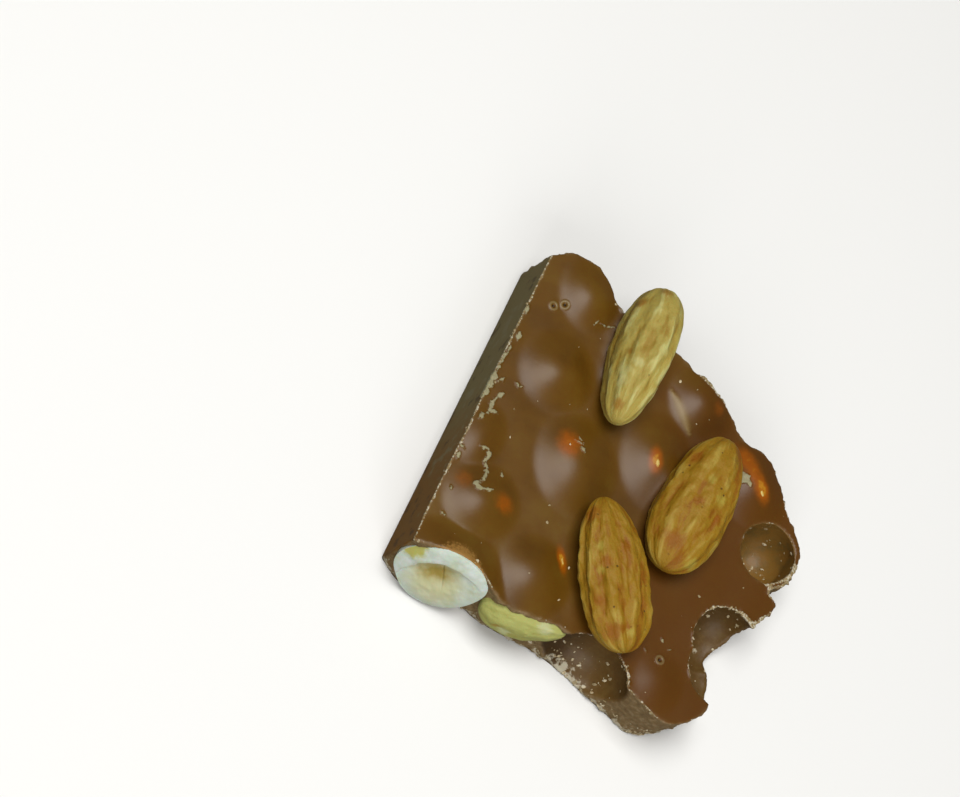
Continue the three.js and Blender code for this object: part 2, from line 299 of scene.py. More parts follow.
def almond_skin(unit, size, wrinkle, seed):
    """An almond along Y with its tip at +Y and its broad faces towards Z.

    Gives its points, how high each stands on a ridge, and a place for streaks along the nut."""
    x, y, z = unit.T
    turn = np.arctan2(z, x)
    round_share = np.sqrt(np.maximum(1e-6, 1 - y * y))
    full = np.maximum(0, 1 - np.abs(y) ** ALMOND_FULLNESS) ** (1 / ALMOND_FULLNESS)
    to_tip = ((y + 1) / 2) ** 2

    def wrapped(round_scale, along):
        return np.stack([np.cos(turn) * round_scale, np.sin(turn) * round_scale, along], 1)

    wander = lumps(wrapped(2, y * 3.4), 1.1, seed)
    stripes = np.cos(ALMOND_FURROWS * turn + 1.5 * y + 2.6 * wander)
    narrow = lumps(wrapped(6, y * 4.2), 1.0, seed + 40)
    thin = lumps(wrapped(13, y * 8), 1.0, seed + 60)
    fading = 1 - 0.75 * np.abs(y) ** 3
    ridge = (0.5 * stripes + 0.7 * narrow + 0.35 * thin) * fading
    swell = full / round_share * (1 + ALMOND_FURROW_DEPTH * np.cos(ALMOND_FURROWS * turn + 1.5 * y))
    points = np.stack([
        x * size["width"] / 2 * (1 - size["taper"] * to_tip) * swell,
        y * size["length"] / 2,
        z * size["thickness"] / 2 * (1 - size["taper"] / 2 * to_tip) * swell,
    ], 1)
    outward = wrapped(1, np.zeros(len(y)))[:, [0, 2, 1]]
    dimples = 0.10 * lumps(points, 1.2, seed + 80) + 0.26 * lumps(points, 3.8, seed + 90)
    dimples += 0.45 * wrinkle * lumps(points * (1, 0.7, 1), 0.75, seed + 70)
    points = points + outward * (wrinkle * (ridge - 0.4) + dimples * fading)[:, None]
    return points, ridge, wrapped(4.4, y * size["length"] / 2 * 0.28) * MM


def spots_at(points, spots):
    """1 in the middle of the given round spots, falling off to 0 outside them."""
    share = np.zeros(len(points))
    for *middle, reach in spots:
        gap = np.linalg.norm(points - middle, axis=1)
        share = np.maximum(share, np.exp(-(gap / reach) ** 2))
    return share


def nut_turn(place):
    """How a nut is turned where it lies."""
    turns = [math.radians(place[turn]) for turn in ("heading", "pitch", "roll")]
    axes = [Matrix.Rotation(turn, 3, axis) for turn, axis in zip(turns, "ZXY")]
    return np.array(axes[0] @ axes[1] @ axes[2])


def put_nut(points, place):
    """Turns a nut's points and moves them to where it lies."""
    return points @ nut_turn(place).T + place["middle"]


def almond_material(name, roast, pits):
    """Bare almond: satin, faintly translucent, streaked from end to end, with a few dark pits."""
    material, n = new_material(name)
    streak = n.mark("streak", "Vector")
    streaks = n.use_group(roast_streaks, {
        "Streak": streak, "Ridge_Highlight": n.mark("ridge"), "Pale": roast["pale"],
        "Golden": roast["golden"], "Brown": roast["brown"],
    })
    place = n.spot()
    patchy = n.minus(n.noise(streak, 0.7, 4.0, 0.65), 0.5)
    scorch = n.between(n.times_plus(patchy, 1.6, n.mark("scorch")), 0.2, 0.95)
    bare = n.between(n.times_plus(patchy, -1.6, n.mark("bare")), 0.25, 1.0)
    colour = n.blend(n.times(scorch, 0.8), streaks["Color"], roast["scorch"])
    colour = n.blend(n.times(bare, 0.7), colour, roast["bare"])
    cells = {"Vector": place, "Scale": 1 / (1.5 * MM)}
    nearest = n.add("ShaderNodeTexVoronoi", cells).outputs["Distance"]
    rare = n.between(n.noise(place, 2.6, 1.0), 0.50, 0.62)
    pit = n.times(n.times(n.between(nearest, 0.16, 0.07), rare), pits)
    colour = n.blend(pit, colour, ALMOND_PIT)
    height = n.times_plus(streaks["Height"], 0.8, n.grained(place, 0.8, 0.5))
    n.finish({
        "Base Color": colour, "Roughness": 0.48, "Specular IOR Level": 0.22,
        "Subsurface Weight": 0.12, "Subsurface Scale": 1.2 * MM,
    }, n.minus(height, pit), 0.7, 0.2)
    return material


roasted_almond = almond_material("roasted_almond", ROASTED, 0.8)
pale_almond = almond_material("pale_almond", BLANCHED, 0.5)

for seed, (name, almond) in enumerate(ALMONDS.items()):
    unit, faces = ball(*ALMOND_DETAIL)
    points, ridge, streak = almond_skin(unit, almond["size"], almond["wrinkle"], seed)
    marks = {"ridge": ridge, "streak": streak, "scorch": spots_at(points, almond["scorched"]),
             "bare": spots_at(points, almond["bare"])}
    points = put_nut(points, almond["place"])
    material = pale_almond if name == "almond_1" else roasted_almond
    piece = make_piece(f"whole_{name}", points, faces, material, marks)
    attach(piece, "root")
    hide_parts(name)


# ---------------------------------------------------------------- chocolate
# The slab is milk chocolate poured over the nuts in a shallow straight-sided mould, so its top
# swells over each of them. This corner was snapped off it: one side is the moulded wall, the
# others are rough breaks, with smooth hollows where hazelnuts dropped out.

SLAB_THICKNESS = 11
MOULDED_SIDE_X = -30.6
MOULDED_HALF_LENGTH = 27
GRID = 0.38
GRID_LOW = (-32.1, -33.4, -0.9)
GRID_HIGH = (32.6, 32.8, 16.6)
# Along the rim of the breaks: a place, and how much further out the foot lies there.
BREAK_LINE = [
    (-30.6, -28.2, 0.6), (-26.6, -27.9, 2.8), (-19.0, -27.4, 3.0), (-15.2, -28.3, 0.5),
    (-12.3, -28.8, 0.4), (-8.1, -28.1, 1.0), (-2.0, -27.0, 1.6), (5.0, -28.4, 0.8),
    (12.0, -29.8, 0.8), (19.8, -31.2, 0.2), (23.2, -29.2, 0.0), (25.4, -25.6, 0.8),
    (25.6, -22.0, 3.0), (25.2, -18.4, 3.2), (24.8, -14.6, 1.2), (26.6, -11.2, 0.3),
    (28.2, -7.4, -0.4), (29.8, -3.5, -0.2), (27.6, -1.8, 0.0), (29.6, 0.6, 0.2), (30.7, 3.8, 0.4),
    (29.9, 7.6, 0.6), (25.4, 11.9, 0.8), (22.0, 15.2, 0.8), (17.8, 18.3, 0.8), (12.6, 18.8, 0.6),
    (8.5, 21.6, 1.0), (-0.4, 24.4, 1.0), (-5.6, 25.6, 1.0), (-11.6, 24.9, 0.8),
    (-16.2, 26.1, 0.6), (-19.0, 28.6, 0.6), (-22.6, 30.3, 0.6), (-27.0, 30.0, 0.4),
    (-30.6, 27.4, 0.0),
]
# Where the poured chocolate stands over a nut.
SWELLINGS = [dict(zip(("x", "y", "long", "wide", "high", "turn", "steep"), row)) for row in [
    (-21.3, 9.9, 7.4, 7.3, 1.9, 20, 2.0), (-11.8, -2.2, 9.0, 7.7, 2.1, 26, 1.8),
    (0.2, 6.2, 9.0, 7.0, 1.9, 20, 2.0), (-23.4, -16.3, 7.1, 6.8, 1.8, 115, 2.0),
    (-10.5, -22.4, 7.2, 7.1, 1.7, 60, 2.0), (-21.8, 24.8, 7.0, 5.8, 1.6, 30, 2.0),
    (3.4, 20.0, 7.0, 6.7, 1.9, 30, 2.0), (17.4, 12.6, 8.0, 7.1, 2.2, 50, 1.8),
    (-23.0, -29.0, 10.8, 8.2, 2.8, 90, 1.8), (15.9, -26.4, 5.4, 4.8, 0.5, 0, 1.8),
    (-28.0, -6.8, 6.2, 4.3, 0.8, 0, 1.8),
]]
VALLEY_SHARPNESS = 3
# Hazelnut sockets: middle, half sizes, and how much painted light falls inside, from painted shade
# at 0 to fully lit at 1.
SOCKETS = [
    {"middle": (4.8, -30.9, 7.2), "half": (8.2, 6.9, 6.8), "light": 0.42},
    {"middle": (24.8, 3.8, 8.4), "half": (5.6, 5.6, 5.8), "light": 1.0},
    {"middle": (24.0, -14.2, 8.2), "half": (6.4, 6.6, 6.6), "light": 0.3},
    {"middle": (25.8, -18.8, 8.4), "half": (7.0, 6.0, 6.2), "light": 0.3},
]
THIN_WALLED = 1
LEAST_WALL = 0.8
HALF_NUT = {"middle": (-22.7, -29.5, 6.9), "half_width": 7.5, "half_height": 6.6, "depth": 7,
            "lean": 20}
RIM_ROUNDING = 0.3
NUT_RING = {"rise": 0.5, "reach": 0.9}
# Thin places over the nuts, where the skin below shines through.
FILMS = [dict(zip(("x", "y", "long", "wide", "turn", "strength"), row)) for row in [
    (-0.3, 5.7, 2.3, 1.2, 20, 1.0), (-7.2, -17.4, 2.2, 0.8, 32, 1.1),
    (14.6, 15.0, 3.2, 1.9, 49, 0.8), (18.6, 11.8, 2.4, 1.3, 49, 0.9),
    (-14.6, -0.2, 2.5, 2.1, 20, 0.8), (-20.0, -14.9, 1.8, 2.2, 0, 0.62),
    (-27.6, -15.0, 2.0, 2.0, 0, 0.4), (6.3, 20.4, 1.6, 1.6, 0, 0.42),
    (19.8, -17.4, 0.9, 0.7, 0, 0.95),
]]
# Scratches and curled shavings on the top: the line that each follows, then its width.
SCUFFS = [
    ([(-30.3, 3.9), (-30.4, 2.1), (-30.5, 0.1), (-30.5, -0.9)], 1.1),
    ([(-30.3, 17.2), (-30.1, 15.8)], 0.8),
    ([(-29.7, 12.3), (-29.4, 10.9)], 0.8),
    ([(-29.9, 9.5), (-30.2, 6.7), (-30.2, 4.0)], 0.4),
    ([(-27.7, 1.5), (-28.3, 0.4), (-28.7, -1.0), (-28.5, -2.3), (-27.2, -2.0)], 0.55),
    ([(-28.4, -2.6), (-29.3, -3.7), (-29.6, -4.7)], 0.5),
    ([(-28.6, 3.9), (-29.5, 2.5)], 0.5),
    ([(-26.6, 4.4), (-25.8, 3.9), (-25.3, 4.4)], 0.35),
    ([(-27.4, -8.7), (-26.1, -8.3), (-25.3, -9.1), (-25.7, -10.3), (-24.9, -11.0),
      (-24.7, -12.2), (-24.8, -13.6), (-25.7, -14.7), (-25.1, -15.2), (-23.8, -14.8),
      (-22.7, -14.1)], 0.6),
    ([(-22.4, -10.1), (-22.0, -11.0)], 0.6),
    ([(-30.4, -10.1), (-29.8, -10.4)], 0.7),
    ([(-30.0, -11.2), (-29.8, -12.3)], 0.6),
    ([(-28.9, -17.0), (-28.5, -17.6)], 0.4),
    ([(-28.4, -21.4), (-27.8, -21.6)], 0.7),
    ([(-12.7, 0.4), (-11.8, -0.2)], 0.6),
    ([(14.0, 12.6), (15.0, 12.0), (16.2, 11.5)], 1.3),
    ([(-13.6, 1.8), (-12.6, 1.2)], 0.25),
    ([(-14.1, 1.0), (-12.5, 0.9)], 0.25),
    ([(-19.1, 20.7), (-18.7, 21.8)], 0.35),
    ([(-18.2, 21.6), (-16.9, 21.8), (-15.8, 22.6)], 0.3),
    ([(13.6, -19.2), (14.0, -19.7)], 0.5),
    ([(15.4, -20.4), (16.1, -20.0)], 0.5),
    ([(11.7, -22.4), (12.2, -22.7)], 0.4),
]
# A dull streak where the chocolate has folded over itself, down the side of one swelling.
FOLD = ([(-2.2, 18.7), (-0.8, 17.7), (1.2, 15.9), (3.7, 13.9)], 0.7)
# Burst air bubbles: a low ring round a pit, which is darkened with painted shade.
BUBBLES = [(-26.5, 19.7), (-24.9, 20.9), (14.7, -22.7)]
BUBBLE = {"ring": 0.62, "ring_width": 0.24, "ring_rise": 0.1, "pit": 0.24, "pit_depth": 0.3}
# Where the rim of a break is crushed pale: a place on the top, its reach and how pale.
PALE_RIMS = [
    (11.4, -27.6, 3.2, 0.9), (18.4, -15.6, 3.4, 0.6), (20.0, -21.8, 2.4, 0.5),
    (20.6, -10.8, 2.4, 1.5), (25.6, -8.8, 2.8, 1.7), (22.6, 8.7, 2.4, 0.45),
    (29.9, 2.4, 3.4, 1.3), (27.4, -2.0, 2.0, 1.4), (4.6, 22.4, 4.6, 1.0),
    (15.9, -30.4, 3.6, 0.5), (9.6, -25.2, 1.6, 0.6), (-16.6, -26.6, 2.0, 0.6),
    (28.6, -6.8, 1.6, 1.2), (25.2, 12.2, 3.0, 0.8), (-16.0, 26.0, 3.0, 0.5),
]
MOULDED_RIM_PALENESS = 0.62
CRUSHED_ABOVE = 0.4
# Relief in layers of lumps: the height, size and seed of each.
BREAK_LUMPS = [(0.30, 1.7, 31), (0.24, 0.85, 32)]
BREAK_RIDGES = (0.14, 1.3, 33)
BREAK_SHREDS = [(0.10, 0.45, 38)]
FOOT_LUMPS = [(0.25, 1.1, 39)]
RIGHT_LUMPS = [(0.36, 0.9, 41), (0.24, 0.5, 42)]
# The right break is coarser, from this far to the right and to the back.
RIGHT_BREAK = {"x": 19, "y": -12}
# The smoother part of the front break, between two sockets.
FACET = {"left": 11, "right": 21, "back": -25, "foot": 1.8}
# Where nut crumbs cling: a place in a socket or at the foot, its reach and how thickly.
CRUMB_SPOTS = [
    (12.0, -24.9, 2.5, 1.8, 1.0), (9.8, -24.0, 2.5, 1.6, 0.7), (11.3, -22.4, 4.0, 1.4, 0.8),
    (10.4, -27.2, 2.0, 1.3, 1.1), (7.4, -27.4, 2.0, 1.6, 0.8), (4.6, -25.0, 3.6, 1.6, 0.5),
    (0.6, -25.6, 6.0, 1.4, 0.6), (27.5, 2.9, 3.5, 1.9, 0.9), (29.0, 6.4, 3.0, 1.6, 0.3),
    (24.0, -12.6, 5.0, 1.6, 0.7), (25.0, -19.2, 4.0, 1.4, 0.7), (10.0, -30.9, 0.5, 2.2, 1.3),
    (3.7, -28.1, 0.5, 2.6, 0.8), (20.8, -30.2, 0.5, 2.4, 1.2), (16.6, -29.9, 0.5, 2.2, 1.2),
    (-3.5, -29.6, 0.5, 3.0, 0.7), (28.8, -1.8, 6.0, 1.4, 0.8), (30.0, 9.6, 6.0, 1.6, 0.7),
]
FINE_CUTS = 2


def break_stations(step):
    """Evenly spaced points on a centripetal curve through the break line's points."""
    given = np.array(BREAK_LINE)
    first = 2 * given[0] - given[1]
    last = 2 * given[-1] - given[-2]
    knots = np.concatenate([[first], given, [last]])
    curve = []
    for a, b, c, d in zip(knots, knots[1:], knots[2:], knots[3:]):
        ta, tb, tc = (max(np.linalg.norm(q - p), 1e-4) ** 0.5 for p, q in ((a, b), (b, c), (c, d)))
        start = (b - a) / ta - (c - a) / (ta + tb) + (c - b) / tb
        end = (c - b) / tb - (d - b) / (tb + tc) + (d - c) / tc
        t = np.linspace(0, 1, 40, endpoint=False)[:, None]
        start, end = start * tb, end * tb
        curve.append((2 * t**3 - 3 * t**2 + 1) * b + (t**3 - 2 * t**2 + t) * start
                     + (3 * t**2 - 2 * t**3) * c + (t**3 - t**2) * end)
    curve = np.concatenate(curve + [given[-1:]])
    run = np.concatenate([[0], np.cumsum(np.linalg.norm(np.diff(curve, axis=0), axis=1))])
    at = np.linspace(0, run[-1], round(run[-1] / step) + 1)
    return np.stack([np.interp(at, run, curve[:, i]) for i in range(3)], 1)


def break_map():
    """On a flat grid: how far each place lies outside the break line, and the foot's spread."""
    stations = break_stations(0.5)
    closed = np.concatenate([stations, stations[:1]])
    a, b = closed[:-1, :2], closed[1:, :2]
    spreads = np.stack([closed[:-1, 2], closed[1:, 2]], 1)
    moulded = np.arange(len(a)) == len(a) - 1
    place = np.stack([grid_x, grid_y], -1).reshape(-1, 1, 2)
    away = np.empty(len(place))
    spread = np.empty(len(place))
    side = b - a
    for part in np.array_split(np.arange(len(place)), 24):
        to = place[part] - a
        share = np.clip((to * side).sum(-1) / (side * side).sum(-1), 0, 1)
        gap = np.linalg.norm(to - share[..., None] * side, axis=-1)
        open_gap = np.where(moulded, np.inf, gap)
        nearest = open_gap.argmin(1)
        row = np.arange(len(part))
        crosses = (a[:, 1] > place[part][..., 1]) != (b[:, 1] > place[part][..., 1])
        with np.errstate(divide="ignore", invalid="ignore"):
            at = a[:, 0] + (place[part][..., 1] - a[:, 1]) / side[:, 1] * side[:, 0]
        within = (crosses & (place[part][..., 0] < at)).sum(1) % 2 == 1
        beyond = place[part][:, 0, 0] < MOULDED_SIDE_X
        inner = within | (beyond & (np.abs(place[part][:, 0, 1]) < MOULDED_HALF_LENGTH))
        away[part] = np.where(inner, -1, 1) * open_gap[row, nearest]
        share = share[row, nearest]
        spread[part] = spreads[nearest, 0] * (1 - share) + spreads[nearest, 1] * share
    return away.reshape(grid_x.shape), spread.reshape(grid_x.shape)


grid_x, grid_y = np.meshgrid(
    *(np.arange(low, high + 2 * GRID, GRID) for low, high in zip(GRID_LOW[:2], GRID_HIGH[:2])),
    indexing="ij")
away_map, spread_map = break_map()


def read_map(grid, x, y):
    """Values of a flat grid at places between its points."""
    u = np.clip((x - GRID_LOW[0]) / GRID, 0, grid.shape[0] - 1.001)
    v = np.clip((y - GRID_LOW[1]) / GRID, 0, grid.shape[1] - 1.001)
    i, j = u.astype(int), v.astype(int)
    u, v = u - i, v - j
    near = grid[i, j] * (1 - v) + grid[i, j + 1] * v
    far = grid[i + 1, j] * (1 - v) + grid[i + 1, j + 1] * v
    return near * (1 - u) + far * u


def turned(x, y, shape):
    """How far along and across a long round shape a place is, in its half sizes."""
    turn = math.radians(shape["turn"])
    dx, dy = x - shape["x"], y - shape["y"]
    along = (-dx * math.sin(turn) + dy * math.cos(turn)) / shape["long"]
    across = (dx * math.cos(turn) + dy * math.sin(turn)) / shape["wide"]
    return along, across


def almond_gap(points, nut):
    """Roughly how far points are from an almond, below 0 inside it."""
    local = (points - nut["place"]["middle"]) @ nut_turn(nut["place"])
    size = nut["size"]
    y = local[:, 1] / (size["length"] / 2)
    to_tip = ((np.clip(y, -1, 1) + 1) / 2) ** 2
    x = local[:, 0] / (size["width"] / 2 * (1 - size["taper"] * to_tip))
    z = local[:, 2] / (size["thickness"] / 2 * (1 - size["taper"] / 2 * to_tip))
    power = ALMOND_FULLNESS
    reach = ((x * x + z * z) ** (power / 2) + np.abs(y) ** power) ** (1 / power)
    return np.linalg.norm(local, axis=1) * (1 - 1 / np.maximum(reach, 1e-3))


def poured_top(x, y):
    """The height of the poured surface."""
    total = 0
    for swelling in SWELLINGS:
        along, across = turned(x, y, swelling)
        inside = np.maximum(0, 1 - along**2 - across**2)
        total = total + (swelling["high"] * inside ** swelling["steep"]) ** VALLEY_SHARPNESS
    height = SLAB_THICKNESS + total ** (1 / VALLEY_SHARPNESS)
    flat = np.stack([x.ravel(), y.ravel(), np.zeros(x.size)], 1)
    return height + 0.07 * lumps(flat, 5.0, 11).reshape(x.shape)


def ring_rise(points):
    """How far the chocolate climbs up round the almonds."""
    rise = np.zeros(len(points))
    uneven = 1 + 0.5 * lumps(points, 2.4, 21)
    for almond in ALMONDS.values():
        gap = np.maximum(almond_gap(points, almond), 0)
        rise = np.maximum(rise, NUT_RING["rise"] * uneven * np.exp(-gap / NUT_RING["reach"]))
    return rise


top_map = poured_top(grid_x, grid_y)
surface = np.stack([grid_x, grid_y, top_map], -1).reshape(-1, 3)
rise_map = ring_rise(surface).reshape(top_map.shape)


def round_gap(x, y, z, middle, half):
    """Roughly how far a place is from a round body with the given half sizes."""
    dx, dy, dz = x - middle[0], y - middle[1], z - middle[2]
    reach = np.sqrt((dx / half[0]) ** 2 + (dy / half[1]) ** 2 + (dz / half[2]) ** 2)
    return (reach - 1) * min(half)


def either(a, b, soft):
    """The larger of two distances, rounded over where they meet."""
    near = np.maximum(soft - np.abs(a - b), 0)
    return np.maximum(a, b) + near * near / (4 * soft)


def chocolate_walls(x, y, z, away, spread):
    """Distances into the sockets and the half nut's hollow, and outside the breaks and mould."""
    broken = away - spread * (1 - z / SLAB_THICKNESS)
    inside = [-round_gap(x, y, z, socket["middle"], socket["half"]) for socket in SOCKETS]
    inside[THIN_WALLED] = np.minimum(inside[THIN_WALLED], -broken - LEAST_WALL)
    socket = np.max(inside, axis=0)
    lean = math.radians(HALF_NUT["lean"])
    ny, nz = y - HALF_NUT["middle"][1], z - HALF_NUT["middle"][2]
    inward = ny * math.cos(lean) - nz * math.sin(lean)
    up = nz * math.cos(lean) + ny * math.sin(lean)
    half = (HALF_NUT["half_width"] + 0.1, HALF_NUT["depth"], HALF_NUT["half_height"] + 0.1)
    nut_hollow = -round_gap(x, inward, up, (HALF_NUT["middle"][0], 0, 0), half)
    for hollow in (*inside, nut_hollow):
        broken = either(broken, hollow, RIM_ROUNDING)
    return socket, nut_hollow, broken, MOULDED_SIDE_X - x


def whole_gap(over, broken, moulded, z):
    """Distance outside the whole slab, its edges a little rounded."""
    walls = either(broken, moulded, RIM_ROUNDING)
    return either(either(over, walls, RIM_ROUNDING), -z, RIM_ROUNDING)


def chocolate_gap(points):
    """At any point: distance outside the chocolate, its top, sockets, nut hollow, break, mould."""
    x, y, z = points.T
    away, spread = read_map(away_map, x, y), read_map(spread_map, x, y)
    socket, nut_hollow, broken, moulded = chocolate_walls(x, y, z, away, spread)
    over = z - read_map(top_map, x, y) - read_map(rise_map, x, y)
    whole = whole_gap(over, broken, moulded, z)
    return whole, over, socket, nut_hollow, broken, moulded


def skin_round(field, low, step):
    """Quads round the part of a grid that is below zero, with one point in each mixed cell."""
    inside = field < 0
    cells = np.array(field.shape) - 1
    total = np.zeros((3, cells.prod()))
    count = np.zeros(cells.prod())
    faces = []
    for axis in range(3):
        ahead = [slice(None)] * 3
        behind = [slice(None)] * 3
        ahead[axis] = slice(1, None)
        behind[axis] = slice(None, -1)
        start = np.argwhere(inside[tuple(behind)] != inside[tuple(ahead)])
        end = start.copy()
        end[:, axis] += 1
        low_value, high_value = field[tuple(start.T)], field[tuple(end.T)]
        crossing = start.astype(float)
        crossing[:, axis] += low_value / (low_value - high_value)
        first, second = (axis + 1) % 3, (axis + 2) % 3
        corners = []
        for back_first, back_second in ((0, 0), (1, 0), (1, 1), (0, 1)):
            cell = start.copy()
            cell[:, first] -= back_first
            cell[:, second] -= back_second
            number = np.ravel_multi_index(cell.T, cells)
            corners.append(number)
            count += np.bincount(number, minlength=len(count))
            for i in range(3):
                total[i] += np.bincount(number, crossing[:, i], len(count))
        quads = np.stack(corners, 1)
        from_outside = low_value > 0
        quads[from_outside] = quads[from_outside][:, ::-1]
        faces.append(quads)
    used = np.flatnonzero(count)
    number = np.zeros(len(count), int)
    number[used] = np.arange(len(used))
    points = (total[:, used] / count[used]).T * step + low
    return points, number[np.concatenate(faces)]


def chocolate_grid():
    """The chocolate's distances on the whole grid."""
    z = np.arange(GRID_LOW[2], GRID_HIGH[2], GRID)
    x, y = grid_x[..., None], grid_y[..., None]
    *_, broken, moulded = chocolate_walls(x, y, z, away_map[..., None], spread_map[..., None])
    return whole_gap(z - (top_map + rise_map)[..., None], broken, moulded, z)


def line_gap(x, y, line):
    """How far places on the top are from a line of points, and how far along it they lie."""
    best, along, run = np.full(len(x), np.inf), np.zeros(len(x)), 0
    for (ax, ay), (bx, by) in zip(line, line[1:]):
        length = math.hypot(bx - ax, by - ay)
        share = ((x - ax) * (bx - ax) + (y - ay) * (by - ay)) / length**2
        share = np.clip(share, 0, 1)
        gap = np.hypot(x - ax - share * (bx - ax), y - ay - share * (by - ay))
        closer = gap < best
        best = np.where(closer, gap, best)
        along = np.where(closer, run + share * length, along)
        run += length
    return best, along, run


def scuff_depth(points):
    """How far inside a scuff's edge each point lies, in millimetres, below 0 outside it."""
    depth = np.full(len(points), -2.0)
    x, y = points[:, 0], points[:, 1]
    for seed, (line, width) in enumerate(SCUFFS):
        near = (x > min(p[0] for p in line) - 3) & (x < max(p[0] for p in line) + 3)
        near &= (y > min(p[1] for p in line) - 3) & (y < max(p[1] for p in line) + 3)
        gap, along, run = line_gap(x[near], y[near], line)
        along_only = np.stack([along, along * 0, along * 0 + seed], 1)
        ends = np.minimum(1, 0.35 + np.minimum(along, run - along) / 0.8)
        uneven = ends * (1.05 + 0.55 * lumps(along_only, 0.5, 61))
        ragged = 0.14 * lumps(points[near], 0.32, 62) * (gap < 1.2)
        depth[near] = np.maximum(depth[near], width / 2 * uneven - gap + ragged)
    return depth


def bubble_gap(points):
    """How far each point is from the middle of the nearest burst bubble."""
    return np.min([np.hypot(points[:, 0] - x, points[:, 1] - y) for x, y in BUBBLES], axis=0)


def rim_paleness(points):
    """How pale the crushed rim is near each point."""
    pale = np.full(len(points), 0.25)
    for x, y, reach, strength in PALE_RIMS:
        gap = np.hypot(points[:, 0] - x, points[:, 1] - y)
        pale = np.maximum(pale, strength * np.exp(-(gap / reach) ** 2))
    return pale


def refine(points, quads):
    """Cuts the faces near small marks and pale rims into finer ones."""
    middle = points[quads].mean(1)
    _, over, _, _, broken, moulded = chocolate_gap(middle)
    rim_gap = -np.minimum(over, np.maximum(broken, moulded))
    wanted = (scuff_depth(middle) > -0.45) & (over > -0.8)
    wanted |= (bubble_gap(middle) < 1.2) & (over > -0.8)
    pale_rim = (rim_paleness(middle) > CRUSHED_ABOVE) | (moulded > -0.5)
    wanted |= (rim_gap < 0.45) & (over > -1.0) & pale_rim
    built = bmesh.new()
    corners = [built.verts.new(point) for point in points]
    faces = [built.faces.new([corners[i] for i in quad]) for quad in quads]
    edges = dict.fromkeys(edge for face, fine in zip(faces, wanted) if fine for edge in face.edges)
    bmesh.ops.subdivide_edges(built, edges=list(edges), cuts=FINE_CUTS, use_grid_fill=True)
    bmesh.ops.recalc_face_normals(built, faces=built.faces)
    built.verts.index_update()
    points = np.array([corner.co for corner in built.verts])
    faces = [[corner.index for corner in face.verts] for face in built.faces]
    built.free()
    return points, faces


def outward_at(points, faces):
    """The outward direction at each point of a mesh."""
    mesh = bpy.data.meshes.new("measured")
    mesh.from_pydata(points.tolist(), [], faces)
    outward = np.empty(len(points) * 3, np.float32)
    mesh.vertex_normals.foreach_get("vector", outward)
    bpy.data.meshes.remove(mesh)
    return outward.reshape(-1, 3)


points, quads = skin_round(chocolate_grid(), GRID_LOW, GRID)
points, faces = refine(points, quads)
for _ in range(4):
    points = points - outward_at(points, faces) * chocolate_gap(points)[0][:, None] * 0.9


def share_above(value, soft):
    """0 where the value is well below 0 and 1 where it is well above."""
    return 1 / (1 + np.exp(-np.clip(value / soft, -40, 40)))


whole, over, socket, nut_hollow, broken, moulded = chocolate_gap(points)
above_foot = points[:, 2] > 0.2
on_break = share_above(broken - np.maximum(over, moulded), 0.12) * above_foot
on_wall = share_above(moulded - np.maximum(over, broken), 0.12) * above_foot
in_socket = share_above(socket - np.maximum(over, broken) + 0.25, 0.08) * on_break
scuff = np.where(over > -0.9, scuff_depth(points), -2.0)
fold_gap, fold_along, fold_run = line_gap(points[:, 0], points[:, 1], FOLD[0])
fold_taper = np.sin(math.pi * np.clip(fold_along / fold_run, 0.04, 0.96)) ** 0.5
fold = np.where(over > -0.4, np.exp(-(fold_gap / (FOLD[1] * fold_taper)) ** 2), 0)
lip_gap = -np.minimum(over, nut_hollow)
bubble = bubble_gap(points)
rim_gap = -np.minimum(over, broken)
wall_gap = -np.minimum(over, moulded)
pale = rim_paleness(points) * 0.5 - rim_gap
pale = np.maximum(pale, MOULDED_RIM_PALENESS * 0.5 - wall_gap)
film = np.zeros(len(points))
for patch in FILMS:
    along, across = turned(points[:, 0], points[:, 1], patch)
    film += patch["strength"] * np.exp(-(along**2 + across**2))
film *= over > -1.2


def lumpy(points, layers):
    """The height that layers of lumps give at each point."""
    return sum(high * lumps(points, size, seed) for high, size, seed in layers)


jagged = lumpy(points, BREAK_LUMPS)
ridge_height, *ridges = BREAK_RIDGES
jagged += ridge_height * np.abs(lumps(points, *ridges)) + lumpy(points, BREAK_SHREDS)
facet = share_above(points[:, 0] - FACET["left"], 0.8)
facet *= share_above(FACET["right"] - points[:, 0], 0.8)
facet *= (share_above(FACET["back"] - points[:, 1], 0.8)
          * share_above(points[:, 2] - FACET["foot"], 0.4))
jagged += lumpy(points, FOOT_LUMPS) * share_above(2.5 - points[:, 2], 0.5)
right_break = share_above(points[:, 0] - RIGHT_BREAK["x"], 1.0)
right_break *= share_above(points[:, 1] - RIGHT_BREAK["y"], 1.0)
jagged += right_break * lumpy(points, RIGHT_LUMPS)
jagged *= on_break * (1 - in_socket) * (1 - 0.75 * facet) * share_above(lip_gap - 1.0, 0.25)
socket_gaps = [round_gap(*points.T, hole["middle"], hole["half"]) for hole in SOCKETS]
thin = share_above(1.6 - socket_gaps[THIN_WALLED], 0.2) * (1 - in_socket)
jagged = np.where(thin > 0.5, np.maximum(jagged, -0.1), jagged)
# The painted light in each socket, less a painted shadow over the part of the sockets left of x
# 3.4.
socket_painted_light = np.array([hole["light"] for hole in SOCKETS])[np.argmin(socket_gaps, axis=0)]
socket_painted_light = socket_painted_light - 0.42 * share_above(3.4 - points[:, 0], 1.0)
crushed = share_above(pale, 0.05) * (rim_paleness(points) > CRUSHED_ABOVE)
crushed = crushed * 0.16 * lumps(points, 0.5, 34)
shaving = share_above(scuff + 0.12 * lumps(points, 0.4, 35), 0.06)
shaving *= 0.10 + 0.09 * lumps(points, 0.6, 36)
ring = BUBBLE["ring_rise"] * np.exp(-((bubble - BUBBLE["ring"]) / BUBBLE["ring_width"]) ** 2)
pit = BUBBLE["pit_depth"] * np.exp(-(bubble / BUBBLE["pit"]) ** 2)
